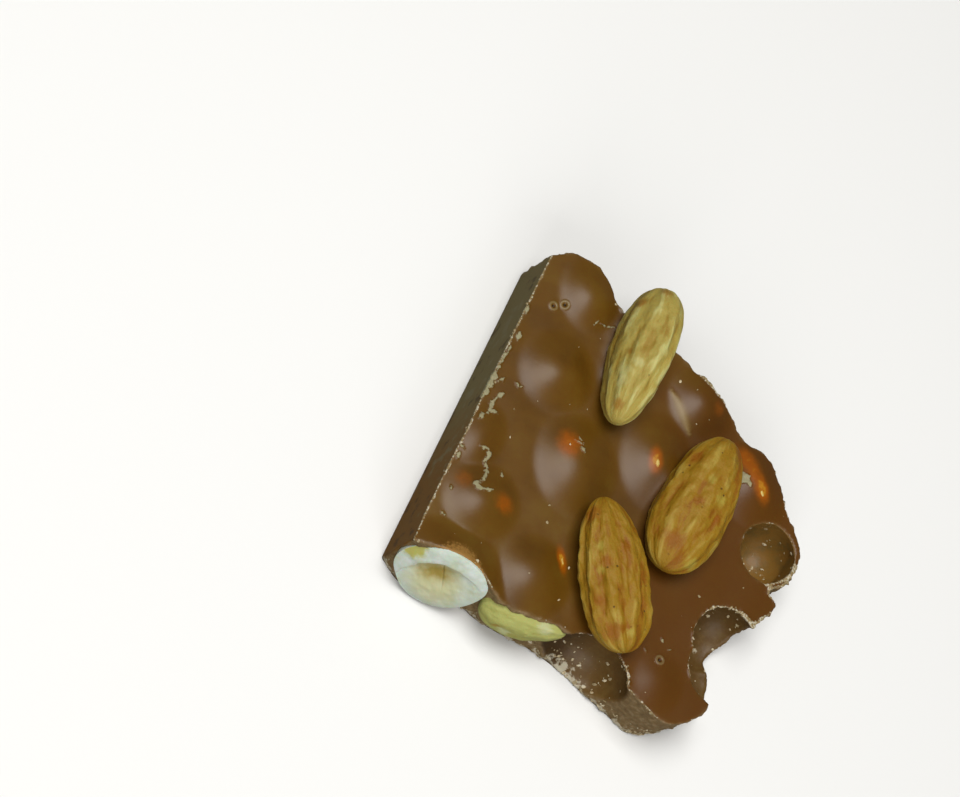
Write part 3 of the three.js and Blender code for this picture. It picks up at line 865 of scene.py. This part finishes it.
relief = jagged + crushed + shaving + (ring - pit) * (over > -0.9) + 0.12 * fold
points = points + outward_at(points, faces) * relief[:, None]

CHOCOLATE = (94, 63, 12)
CHOCOLATE_DARK = (78, 49, 6)
CHOCOLATE_LIGHT = (103, 76, 21)
CHOCOLATE_WARM = (86, 49, 6)
WALL_PAINTED_SHEEN = (128, 116, 72)
WALL_WARM = (130, 90, 20)
BROKEN_CHOCOLATE = (124, 102, 66)
SOCKET_PAINTED_SHADE = (50, 30, 5)
SOCKET_PAINTED_LIT = (132, 96, 38)
SOCKET_SMEARED = (110, 86, 38)
SCUFFED_CHOCOLATE = (150, 144, 110)
RIM_CHOCOLATE = (140, 120, 80)
RIM_FLAKY = (196, 188, 164)
LIP_CHOCOLATE = (146, 108, 52)
FILM_ORANGE = (144, 76, 4)
FILM_GOLD = (180, 126, 30)
BROKEN_DARK = (96, 74, 44)
BROKEN_LIGHT = (160, 138, 104)
WALL_PALE = (136, 130, 98)
WALL_DARK = (66, 48, 24)
FOLD_CHOCOLATE = (144, 122, 74)
FOOT_SHREDS = (198, 190, 166)
BUBBLE_RING = (140, 126, 84)
BUBBLE_PIT_SHADE = (40, 26, 12)


def chocolate_material():
    """Milk chocolate: satin where it was poured, dull and grainy where it broke."""
    material, n = new_material("milk_chocolate")
    place = n.spot()
    on_break, on_wall, in_socket = n.mark("on_break"), n.mark("on_wall"), n.mark("in_socket")
    run = n.add("ShaderNodeSeparateXYZ", {"Vector": place}).outputs
    to_right, to_back, up = (n.times(run[axis], 1 / MM) for axis in "XYZ")

    poured = n.mottled(place, 7, CHOCOLATE, CHOCOLATE_DARK, CHOCOLATE_LIGHT, 0.5)
    to_right = n.times_plus(n.noise(place, 11, 2.0), 30.0, to_right)
    warm = n.times(n.between(to_right, 8.0, 26.0), 0.75)
    poured = n.blend(warm, poured, CHOCOLATE_WARM)
    grainy = n.mottled(place, 0.9, BROKEN_CHOCOLATE, BROKEN_DARK, BROKEN_LIGHT, 0.55)
    colour = n.blend(n.times(on_break, 0.92), poured, grainy)

    smeared = n.noise(place, 1.8, 3.0, 0.6)
    # Inside the sockets the colour runs from painted shade to painted light, and the smears show
    # only where it is painted lit.
    socket_painted_light = n.mark("socket_painted_light")
    socket_colour = n.blend(socket_painted_light, SOCKET_PAINTED_SHADE, SOCKET_PAINTED_LIT)
    smear = n.times(n.between(smeared, 0.42, 0.72), socket_painted_light)
    socket_colour = n.blend(smear, socket_colour, SOCKET_SMEARED)
    colour = n.blend(n.times(in_socket, 0.94), colour, socket_colour)

    # Towards the back the wall is greyed by a painted sheen; towards the front it keeps its own
    # warm colour.
    along = n.times_plus(smeared, 18.0, to_back)
    wall_colour = n.blend(n.between(along, 14.0, -8.0), WALL_PAINTED_SHEEN, WALL_WARM)
    streaks = n.noise(place, 4.0, 4.0, 0.62)
    wall_colour = n.blend(n.times(n.between(streaks, 0.56, 0.68), 0.6), wall_colour, WALL_PALE)
    wall_colour = n.blend(n.times(n.between(streaks, 0.42, 0.34), 0.6), wall_colour, WALL_DARK)
    colour = n.blend(n.times(on_wall, 0.92), colour, wall_colour)

    fine = n.minus(n.noise(place, 0.45, 3.0, 0.65), 0.5)
    wander = n.noise(place, 1.1, 3.0, 0.6)
    film = n.times(n.mark("film"), n.plus(wander, 0.5))
    colour = n.blend(n.between(film, 0.10, 0.75), colour, FILM_ORANGE)
    colour = n.blend(n.between(film, 0.72, 1.05), colour, FILM_GOLD)
    lip = n.times_plus(fine, 0.7, n.mark("lip_gap"))
    colour = n.blend(n.between(lip, 0.75, 0.45), colour, LIP_CHOCOLATE)
    colour = n.blend(n.times(n.mark("fold"), 0.65), colour, FOLD_CHOCOLATE)

    rim = n.times_plus(fine, 0.55, n.mark("pale"))
    in_parts = n.minus(n.noise(place, 2.2, 2.0, 0.6), 0.54)
    rim = n.between(n.times_plus(in_parts, 0.8, rim), 0.0, 0.14)
    flaky = n.blend(n.between(fine, -0.02, 0.10), RIM_CHOCOLATE, RIM_FLAKY)
    colour = n.blend(n.times(rim, 0.9), colour, flaky)
    foot = n.times_plus(n.minus(smeared, 0.5), -5.5, up)
    foot = n.times(n.between(foot, 1.2, 0.6), on_break)
    colour = n.blend(n.times(foot, 0.75), colour, FOOT_SHREDS)
    scuffed = n.between(n.times_plus(fine, 0.9, n.mark("scuff")), -0.04, 0.16)
    colour = n.blend(n.times(scuffed, 0.92), colour, SCUFFED_CHOCOLATE)
    bubble = n.mark("bubble")
    ring = n.minus(n.between(bubble, 0.92, 0.72), n.between(bubble, 0.5, 0.34))
    colour = n.blend(n.times(ring, 0.38), colour, BUBBLE_RING)
    # Painted shade in the bubble's pit.
    colour = n.blend(n.between(bubble, 0.26, 0.16), colour, BUBBLE_PIT_SHADE)

    bare_break = n.minus(on_break, n.times(in_socket, 0.8))
    torn = n.plus(rim, scuffed)
    depth = n.plus(n.times_plus(bare_break, 1.0, 0.10), torn)
    rough = n.times_plus(bare_break, 0.26, 0.34)
    rough = n.times_plus(on_wall, 0.2, n.times_plus(torn, 0.2, rough))
    n.finish({
        "Base Color": colour, "Roughness": rough, "Specular IOR Level": 0.29,
        "Subsurface Weight": 0.06, "Subsurface Scale": 0.8 * MM,
    }, n.times(n.grained(place, 1.2, 0.5), depth), 0.5, 0.25)
    return material


milk_chocolate = chocolate_material()
crumbs_here = 0.10 * in_socket
for x, y, z, reach, strength in CRUMB_SPOTS:
    gap = np.linalg.norm(points - (x, y, z), axis=1)
    crumbs_here = crumbs_here + strength * np.exp(-(gap / reach) ** 2) * on_break
frayed = share_above(pale + 0.1, 0.06) * rim_paleness(points) * above_foot
low_edge = on_break * (1 - in_socket) * share_above(2.6 - points[:, 2], 0.5)
low_edge *= share_above(-24.5 - points[:, 1], 0.5)
on_top = share_above(over + 0.3, 0.05) * (1 - on_break) * (1 - on_wall)
marks = {
    "on_break": on_break, "on_wall": on_wall, "in_socket": in_socket, "pale": pale,
    "socket_painted_light": socket_painted_light, "film": film, "scuff": scuff, "fold": fold,
    "lip_gap": lip_gap, "bubble": bubble, "crumb_share": crumbs_here + 0.006 * on_top,
    "flake_share": 1.2 * frayed + 1.1 * low_edge + 0.3 * crumbs_here + 0.006 * on_top,
}
chocolate = make_piece("slab_chocolate", points, faces, milk_chocolate, marks)
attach(chocolate, "root")
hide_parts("chocolate")


# ---------------------------------------------------------------- whole hazelnuts
# Three small roasted hazelnuts lie in the chocolate, just under the top. They were stirred into
# it before it was poured, and each shows only where the film of chocolate over it is thinnest.

# Each bare spot is its middle, its half sizes and how far it is turned.
HAZELNUTS = {
    "hazelnut_1": {"middle": (-0.4, 5.6, 8.6), "radius": 5.3, "bare": (0.1, 5.5, 1.0, 0.5, 20)},
    "hazelnut_2": {"middle": (-7.0, -18.0, 7.2), "radius": 5.0, "bare": (-7, -17.5, 1.0, 0.3, 32)},
    "hazelnut_3": {"middle": (16.3, 11.5, 7.9), "radius": 5.9, "bare": (18.9, 11.3, 0.8, 0.45, 49)},
}
HAZELNUT_DETAIL = (120, 80)
HAZELNUT_DENTS = 0.12
HAZELNUT_DENT_SIZE = 2.6
FILM_THICKNESS = 0.35
BARE_RISE = 0.07
HAZELNUT_GOLD = (202, 168, 80)
HAZELNUT_BROWN = (170, 106, 26)
HAZELNUT_CREAM = (206, 188, 120)


def skin_material():
    """Roasted hazelnut skin: golden to brown, dull, with fine wrinkles."""
    material, n = new_material("hazelnut_skin")
    place = n.spot()
    n.finish({
        "Base Color": n.mottled(place, 1.1, HAZELNUT_GOLD, HAZELNUT_BROWN, HAZELNUT_CREAM, 0.9),
        "Roughness": 0.5, "Subsurface Weight": 0.1, "Subsurface Scale": 1.5 * MM,
    }, n.grained(place, 0.9, 0.4), 0.35, 0.2)
    return material


hazelnut_skin = skin_material()

for seed, (name, nut) in enumerate(HAZELNUTS.items()):
    points, faces = ball(*HAZELNUT_DETAIL)
    points = points * nut["radius"]
    dents = HAZELNUT_DENTS * lumps(points, HAZELNUT_DENT_SIZE, seed)
    points = points * (1 + dents / nut["radius"])[:, None] + nut["middle"]
    x, y, z = points.T
    along, across = turned(x, y, dict(zip(("x", "y", "long", "wide", "turn"), nut["bare"])))
    shown = np.exp(-(along**2 + across**2)) + 0.25 * lumps(points, 0.6, 71 + seed)
    film_over = FILM_THICKNESS - (FILM_THICKNESS + BARE_RISE) * share_above(shown - 0.5, 0.08)
    top = read_map(top_map, x, y) + read_map(rise_map, x, y)
    points[:, 2] = np.minimum(z, top - film_over)
    piece = make_piece(f"whole_{name}", points, faces, hazelnut_skin, {})
    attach(piece, "root")
    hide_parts(name)


# ---------------------------------------------------------------- halved hazelnut
# The break went through one hazelnut and left its half in the slab. Its cut flesh is white above
# a step, cream below it, with a tan hollow in its middle, its tan partly the nut's own and partly
# a painted shadow under the step.

HALF_NUT_DETAIL = (240, 180)
HALF_NUT_FACE = 0.55
# The rim of its cut face, as places across and up from its middle.
HALF_NUT_RIM = [
    (-7.75, 0.4), (-6.3, 4.2), (-3.0, 6.5), (0.8, 6.75), (4.2, 6.1), (6.7, 4.3), (7.3, 2.4),
    (6.9, 0.4), (5.4, -3.4), (3.0, -5.7), (-0.4, -6.6), (-3.3, -6.0), (-5.4, -4.0), (-7.2, -2.3),
]
# The step and the hollow are turned on the cut face; widths and heights are along that turn.
STEP = {"turn": 30, "top": 3.6, "curve": 0.085, "across": -0.8, "half_width": 4.9, "depth": 1.1,
        "fade": 3.0}
HOLLOW = {"across": -0.5, "up": 1.2, "half_width": 3.6, "half_height": 2.1, "depth": 0.5}
CREASE = {"across": 0.6, "top": 2.9, "foot": -0.8, "half_width": 0.11, "depth": 0.18}
CREAM = {"across": -0.4, "up": -0.4, "reach": 4.7}
SKIN_EDGE = {"place": (-6.6, 3.4), "reach": 2.4}
FLESH_WHITE = (200, 211, 196)
FLESH_DARKER = (190, 198, 168)
FLESH_LIGHTER = (214, 222, 216)
FLESH_CREAM = (196, 192, 142)
FLESH_TAN_AND_SHADOW = (158, 138, 62)
FLESH_CREASE = (128, 108, 52)
SKIN_GREEN = (178, 174, 92)


def half_nut_points(around, rings):
    """A half nut with its cut face towards +Y and its round back to -Y, upside down in Z."""
    unit, faces = ball(around, rings)
    x, y, z = unit.T
    front = y > 0
    radius = np.sqrt(x * x + z * z)
    back_y = np.where(front, 0, y * HALF_NUT["depth"])
    rim_turn = np.array([math.atan2(-up, across) for across, up in HALF_NUT_RIM])
    rim_reach = np.hypot(*np.array(HALF_NUT_RIM).T)
    order = np.argsort(rim_turn)
    turns = np.arctan2(z, x) + np.radians([-12, -6, 0, 6, 12])[:, None]
    reach = np.interp(turns, rim_turn[order], rim_reach[order], period=2 * math.pi).mean(0)
    px, pz = reach * x, reach * z
    turn = math.radians(STEP["turn"])
    across = px * math.cos(turn) - pz * math.sin(turn)
    up = -px * math.sin(turn) - pz * math.cos(turn)
    face_place = np.stack([px, pz, px * 0], 1)
    below = STEP["top"] - STEP["curve"] * across**2 - up + 0.25 * lumps(face_place, 1.1, 52)
    within = share_above(STEP["half_width"] - np.abs(across - STEP["across"]), 0.9)
    under = share_above(below, 0.07) * within
    recess = STEP["depth"] * under * np.exp(-np.maximum(below, 0) / STEP["fade"])
    bowl = ((across - HOLLOW["across"]) / HOLLOW["half_width"]) ** 2
    bowl = np.exp(-(bowl + ((up - HOLLOW["up"]) / HOLLOW["half_height"]) ** 2))
    slit = np.exp(-((across - CREASE["across"]) / CREASE["half_width"]) ** 2)
    slit *= share_above(CREASE["top"] - up, 0.3) * share_above(up - CREASE["foot"], 0.5)
    crown = HALF_NUT_FACE * (1 - radius**4)
    uneven = 0.12 * lumps(face_place, 1.8, 51) + 0.05 * lumps(face_place, 0.7, 53)
    front_y = crown - recess - HOLLOW["depth"] * bowl - CREASE["depth"] * slit
    front_y += uneven * (1 - radius**6)
    points = np.stack([px, np.where(front, front_y, back_y), pz], 1)
    skin = np.exp(-np.hypot(px - SKIN_EDGE["place"][0], -pz - SKIN_EDGE["place"][1])
                  / SKIN_EDGE["reach"])
    from_middle = np.hypot(across - CREAM["across"], up - CREAM["up"])
    cream = share_above(below + 0.1, 0.25) * within * share_above(CREAM["reach"] - from_middle, 0.7)
    marks = {"hollow": bowl, "crease": slit, "cream": cream, "skin_edge": skin}
    return points, faces, {name: np.where(front, values, 0) for name, values in marks.items()}


def flesh_material():
    """Raw hazelnut flesh: matt and waxy, white at the rim, tan in the hollow, which is partly
    painted shadow.
    """
    material, n = new_material("hazelnut_flesh")
    place = n.spot()
    plain = n.mottled(place, 2.4, FLESH_WHITE, FLESH_DARKER, FLESH_LIGHTER, 0.8)
    colour = n.blend(n.times(n.mark("cream"), 0.85), plain, FLESH_CREAM)
    wander = n.noise(place, 1.4, 3.0, 0.55)
    # The tan of the hollow under the step is partly the nut's own colour and partly painted shadow
    # of the step.
    tan_and_shadow = n.times(n.mark("hollow"), n.plus(wander, 0.5))
    colour = n.blend(n.between(tan_and_shadow, 0.15, 1.0), colour, FLESH_TAN_AND_SHADOW)
    colour = n.blend(n.times(n.mark("crease"), 0.6), colour, FLESH_CREASE)
    skin = n.times(n.mark("skin_edge"), n.plus(wander, 0.55))
    colour = n.blend(n.between(skin, 0.36, 0.56), colour, SKIN_GREEN)
    n.finish({
        "Base Color": colour, "Roughness": 0.5, "Specular IOR Level": 0.3,
        "Subsurface Weight": 0.2, "Subsurface Scale": 1.2 * MM,
    }, n.grained(place, 0.7, 0.4), 0.3, 0.15)
    return material


hazelnut_flesh = flesh_material()
points, faces, marks = half_nut_points(*HALF_NUT_DETAIL)
tilt = Matrix.Rotation(math.pi - math.radians(HALF_NUT["lean"]), 3, "X")
points = points @ np.array(tilt).T + HALF_NUT["middle"]
piece = make_piece("half_hazelnut", points, faces, hazelnut_flesh, marks)
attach(piece, "root")
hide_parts("hazelnut_half")


# ---------------------------------------------------------------- broken almond piece
# A pale, unroasted-looking piece of blanched almond sticks out of the same break. It snapped
# with the slab, so it ends in a point on one side, and a soft groove runs along it.

PALE_PIECE = {
    "size": {"length": 14.6, "width": 8.8, "thickness": 5.8, "taper": 0.36},
    "place": {"middle": (-7.9, -27.7, 8.0), "heading": -80, "pitch": 11, "roll": 62},
    "wrinkle": 0.03,
    "scorched": [(1.2, -3.9, 2.4, 0.8)],
    "bare": [(2.0, -2.4, 2.3, 1.3), (-1.0, 3.5, 2.4, 1.6)],
}
PALE_PIECE_DETAIL = (200, 130)
UNROASTED = {"pale": (174, 176, 106), "golden": (166, 167, 94), "brown": (156, 153, 80),
             "scorch": (160, 128, 46), "bare": (190, 192, 148)}
GROOVE = {"x": -2.2, "depth": 0.45, "half_width": 0.5}
PALE_PIECE_COVER = 0.3


def blunt(value, soft):
    """The value where it is well above 0, running out smoothly to 0 below."""
    return soft * np.logaddexp(0, value / soft)


unit, faces = ball(*PALE_PIECE_DETAIL)
points, ridge, streak = almond_skin(unit, PALE_PIECE["size"], PALE_PIECE["wrinkle"], 7)
marks = {"ridge": ridge * 0.3, "streak": streak,
         "scorch": spots_at(points, PALE_PIECE["scorched"]),
         "bare": spots_at(points, PALE_PIECE["bare"])}
groove = np.exp(-((points[:, 0] - GROOVE["x"] - 0.06 * points[:, 1]) / GROOVE["half_width"]) ** 2)
points[:, 2] -= GROOVE["depth"] * groove * (points[:, 2] > 0)
points = put_nut(points, PALE_PIECE["place"])
under_top = read_map(top_map, *points[:, :2].T) - PALE_PIECE_COVER
points[:, 2] = under_top - blunt(under_top - points[:, 2], 0.4)
blanched_piece = almond_material("blanched_almond", UNROASTED, 0.1)
piece = make_piece("blanched_piece", points, faces, blanched_piece, marks)
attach(piece, "root")
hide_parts("almond_piece")


# ---------------------------------------------------------------- crumbs and flakes
# Snapping the slab left whitish nut crumbs in the empty sockets and pale shavings of chocolate
# along the torn rims. They cling to the chocolate, and a few lie on the top as dust.

CRUMBS = {"density": 2.4e6, "small": 0.05 * MM, "large": 0.36 * MM, "flat": 0.7, "seed": 5}
FLAKES = {"density": 1.5e6, "small": 0.07 * MM, "large": 0.36 * MM, "flat": 0.45, "seed": 9}
# The plain, darker and lighter colour of each.
CRUMB_COLOURS = ((190, 174, 138), (150, 122, 82), (214, 204, 178))
FLAKE_COLOURS = ((148, 130, 92), (112, 88, 50), (184, 172, 140))


def scatter_tree(name, share, material):
    """A Geometry Nodes tree that strews small lumps over a mesh where an attribute says so."""
    tree = bpy.data.node_groups.new(name, "GeometryNodeTree")
    n = Nodes(tree)
    sockets = {}
    for socket, kind in (("Geometry", "Geometry"), ("Density", "Float"), ("Small", "Float"),
                         ("Large", "Float"), ("Flat", "Float"), ("Seed", "Int")):
        made = tree.interface.new_socket(socket, in_out="INPUT", socket_type=f"NodeSocket{kind}")
        sockets[socket] = made.identifier
    tree.interface.new_socket("Geometry", in_out="OUTPUT", socket_type="NodeSocketGeometry")
    given, out = tree.nodes.new("NodeGroupInput").outputs, tree.nodes.new("NodeGroupOutput").inputs

    wanted = n.add("GeometryNodeInputNamedAttribute", {"Name": share}, data_type="FLOAT")
    clumps = n.add("ShaderNodeTexNoise", {"Scale": 1 / (1.6 * MM), "Detail": 2.0})
    clumped = n.add("ShaderNodeMapRange", {
        "Value": clumps.outputs["Fac"], "From Min": 0.44, "From Max": 0.62, "To Max": 2.0})
    dense = n.times(wanted.outputs["Attribute"], given["Density"])
    dense = n.times(dense, clumped.outputs["Result"])
    strewn = n.add("GeometryNodeDistributePointsOnFaces", {
        "Mesh": given["Geometry"], "Density": dense, "Seed": given["Seed"]})

    size = n.add("FunctionNodeRandomValue", {"Seed": given["Seed"]}, data_type="FLOAT")
    mostly_small = n.maths("POWER", size.outputs[1], 2.2)
    growth = n.minus(given["Large"], given["Small"])
    size = n.times_plus(mostly_small, growth, given["Small"])
    spread = n.add("FunctionNodeRandomValue", {
        0: (0.5, 0.6, 0.5), 1: (1.3, 1.6, 1.0), "Seed": 3}, data_type="FLOAT_VECTOR")
    flat = n.add("ShaderNodeCombineXYZ", {"X": 1.0, "Y": 1.0, "Z": given["Flat"]})
    shape = n.add("ShaderNodeVectorMath", {
        0: spread.outputs["Value"], 1: flat.outputs[0]}, operation="MULTIPLY")
    scaled = n.add("ShaderNodeVectorMath", {
        0: shape.outputs[0], "Scale": size}, operation="SCALE")
    spin = n.add("FunctionNodeRandomValue", {
        0: (-0.5, -0.5, 0.0), 1: (0.5, 0.5, 2 * math.pi), "Seed": 4}, data_type="FLOAT_VECTOR")
    turned_chip = n.add("FunctionNodeRotateRotation", {
        0: strewn.outputs["Rotation"], 1: spin.outputs["Value"]}, rotation_space="LOCAL")
    chip = n.add("GeometryNodeMeshIcoSphere", {"Radius": 1.0, "Subdivisions": 1})
    placed = n.add("GeometryNodeInstanceOnPoints", {
        "Points": strewn.outputs["Points"], "Instance": chip.outputs["Mesh"],
        "Rotation": turned_chip.outputs[0], "Scale": scaled.outputs[0]})
    real = n.add("GeometryNodeRealizeInstances", {"Geometry": placed.outputs[0]})

    bend = n.add("ShaderNodeTexNoise", {"Scale": 1 / (0.16 * MM), "Detail": 1.0})
    bend = n.add("ShaderNodeVectorMath", {
        0: bend.outputs["Color"], 1: (0.5, 0.5, 0.5)}, operation="SUBTRACT")
    bend = n.add("ShaderNodeVectorMath", {
        0: bend.outputs[0], "Scale": given["Large"]}, operation="SCALE")
    bent = n.add("GeometryNodeSetPosition", {
        "Geometry": real.outputs[0], "Offset": bend.outputs[0]})
    finished = n.add("GeometryNodeSetMaterial", {
        "Geometry": bent.outputs[0], "Material": material})
    tree.links.new(finished.outputs[0], out["Geometry"])
    return tree, sockets


def scatter(name, share, material, values):
    """Strews lumps over the chocolate, and keeps them as one mesh of their own."""
    tree, sockets = scatter_tree(name, share, material)
    ground = bpy.data.objects.new(f"{name}_ground", chocolate.data.copy())
    bpy.context.collection.objects.link(ground)
    strewing = ground.modifiers.new(name, "NODES")
    strewing.node_group = tree
    for socket, value in values.items():
        strewing[sockets[socket.capitalize()]] = value
    evaluated = ground.evaluated_get(bpy.context.evaluated_depsgraph_get())
    mesh = bpy.data.meshes.new_from_object(evaluated)
    bpy.data.objects.remove(ground)
    piece = bpy.data.objects.new(name, mesh)
    bpy.context.collection.objects.link(piece)
    return piece


def crumb_material(name, colours, rough):
    """A broken crumb: dull, its colour differing a little from one crumb to the next."""
    material, n = new_material(name)
    place = n.spot()
    feeds = {"Base Color": n.mottled(place, 0.8, *colours, 1.0), "Roughness": rough}
    n.finish(feeds, n.grained(place, 0.2, 0.4), 0.3, 0.05)
    return material


nut_crumb = crumb_material("nut_crumb", CRUMB_COLOURS, 0.6)
chocolate_flake = crumb_material("chocolate_flake", FLAKE_COLOURS, 0.55)
crumbs = scatter("nut_crumbs", "crumb_share", nut_crumb, CRUMBS)
flakes = scatter("chocolate_flakes", "flake_share", chocolate_flake, FLAKES)
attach(crumbs, "root")
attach(flakes, "root")


# ---------------------------------------------------------------- floor, light and camera
# The piece lies on a plain pale table under one large soft light overhead, a little to its left,
# with a second one near the viewer, as small food is lit for a catalogue picture.

TABLE_SEEN = (238, 238, 236)
TABLE_UNSEEN = (120, 116, 108)

floor_points = [(-900, -900, 0), (900, -900, 0), (900, 900, 0), (-900, 900, 0)]
floor_material, n = new_material("pale_table")
seen = n.add("ShaderNodeLightPath").outputs["Is Camera Ray"]
n.finish({"Base Color": n.blend(seen, TABLE_UNSEEN, TABLE_SEEN), "Roughness": 0.7})
floor = make_piece("table", floor_points, [[0, 1, 2, 3]], floor_material, {})

RIGHT = Vector((0.8085, 0.3967, 0.435))
TOWARDS = Vector((-0.2526, -0.4327, 0.866)).normalized()
LENS = 100
SENSOR = 36
DISTANCE = 423
PICTURE = (960, 797)
AIM = Vector((-7.4, -5.1, 11))
AIM_PIXEL = (590, 495)

RIGHT = (RIGHT - TOWARDS * RIGHT.dot(TOWARDS)).normalized()
UP = TOWARDS.cross(RIGHT)
focal = PICTURE[0] / SENSOR * LENS
across = (AIM_PIXEL[0] - PICTURE[0] / 2) / focal
up = -(AIM_PIXEL[1] - PICTURE[1] / 2) / focal
eye = AIM + (TOWARDS - RIGHT * across - UP * up) * DISTANCE
camera_data = bpy.data.cameras.new("camera")
camera_data.lens = LENS
camera_data.sensor_width = SENSOR
camera_data.clip_start = 0.01
camera = bpy.data.objects.new("camera", camera_data)
turn = Matrix((RIGHT, UP, TOWARDS)).transposed().to_4x4()
camera.matrix_world = Matrix.Translation(eye * MM) @ turn
bpy.context.collection.objects.link(camera)
bpy.context.scene.camera = camera


def soft_light(name, towards, away, size, watts, colour):
    """A square light panel that faces the piece."""
    data = bpy.data.lights.new(name, "AREA")
    data.size = size
    data.energy = watts
    data.color = colour
    light = bpy.data.objects.new(name, data)
    direction = Vector(towards).normalized()
    light.location = direction * away
    light.rotation_euler = direction.to_track_quat("Z", "Y").to_euler()
    bpy.context.collection.objects.link(light)


soft_light("key_panel", (-0.21, 0.03, 0.96), 0.7, 0.44, 4.4, (1.0, 0.99, 0.97))
soft_light("front_panel", (0.2, -0.9, 0.5), 0.9, 0.7, 4.2, (1.0, 1.0, 1.0))
world = bpy.data.worlds.new("studio")
bpy.context.scene.world = world
world.use_nodes = True
world.node_tree.nodes["Background"].inputs["Color"].default_value = (1.0, 1.0, 1.0, 1.0)
world.node_tree.nodes["Background"].inputs["Strength"].default_value = 0.13
bpy.context.scene.view_settings.view_transform = "Standard"
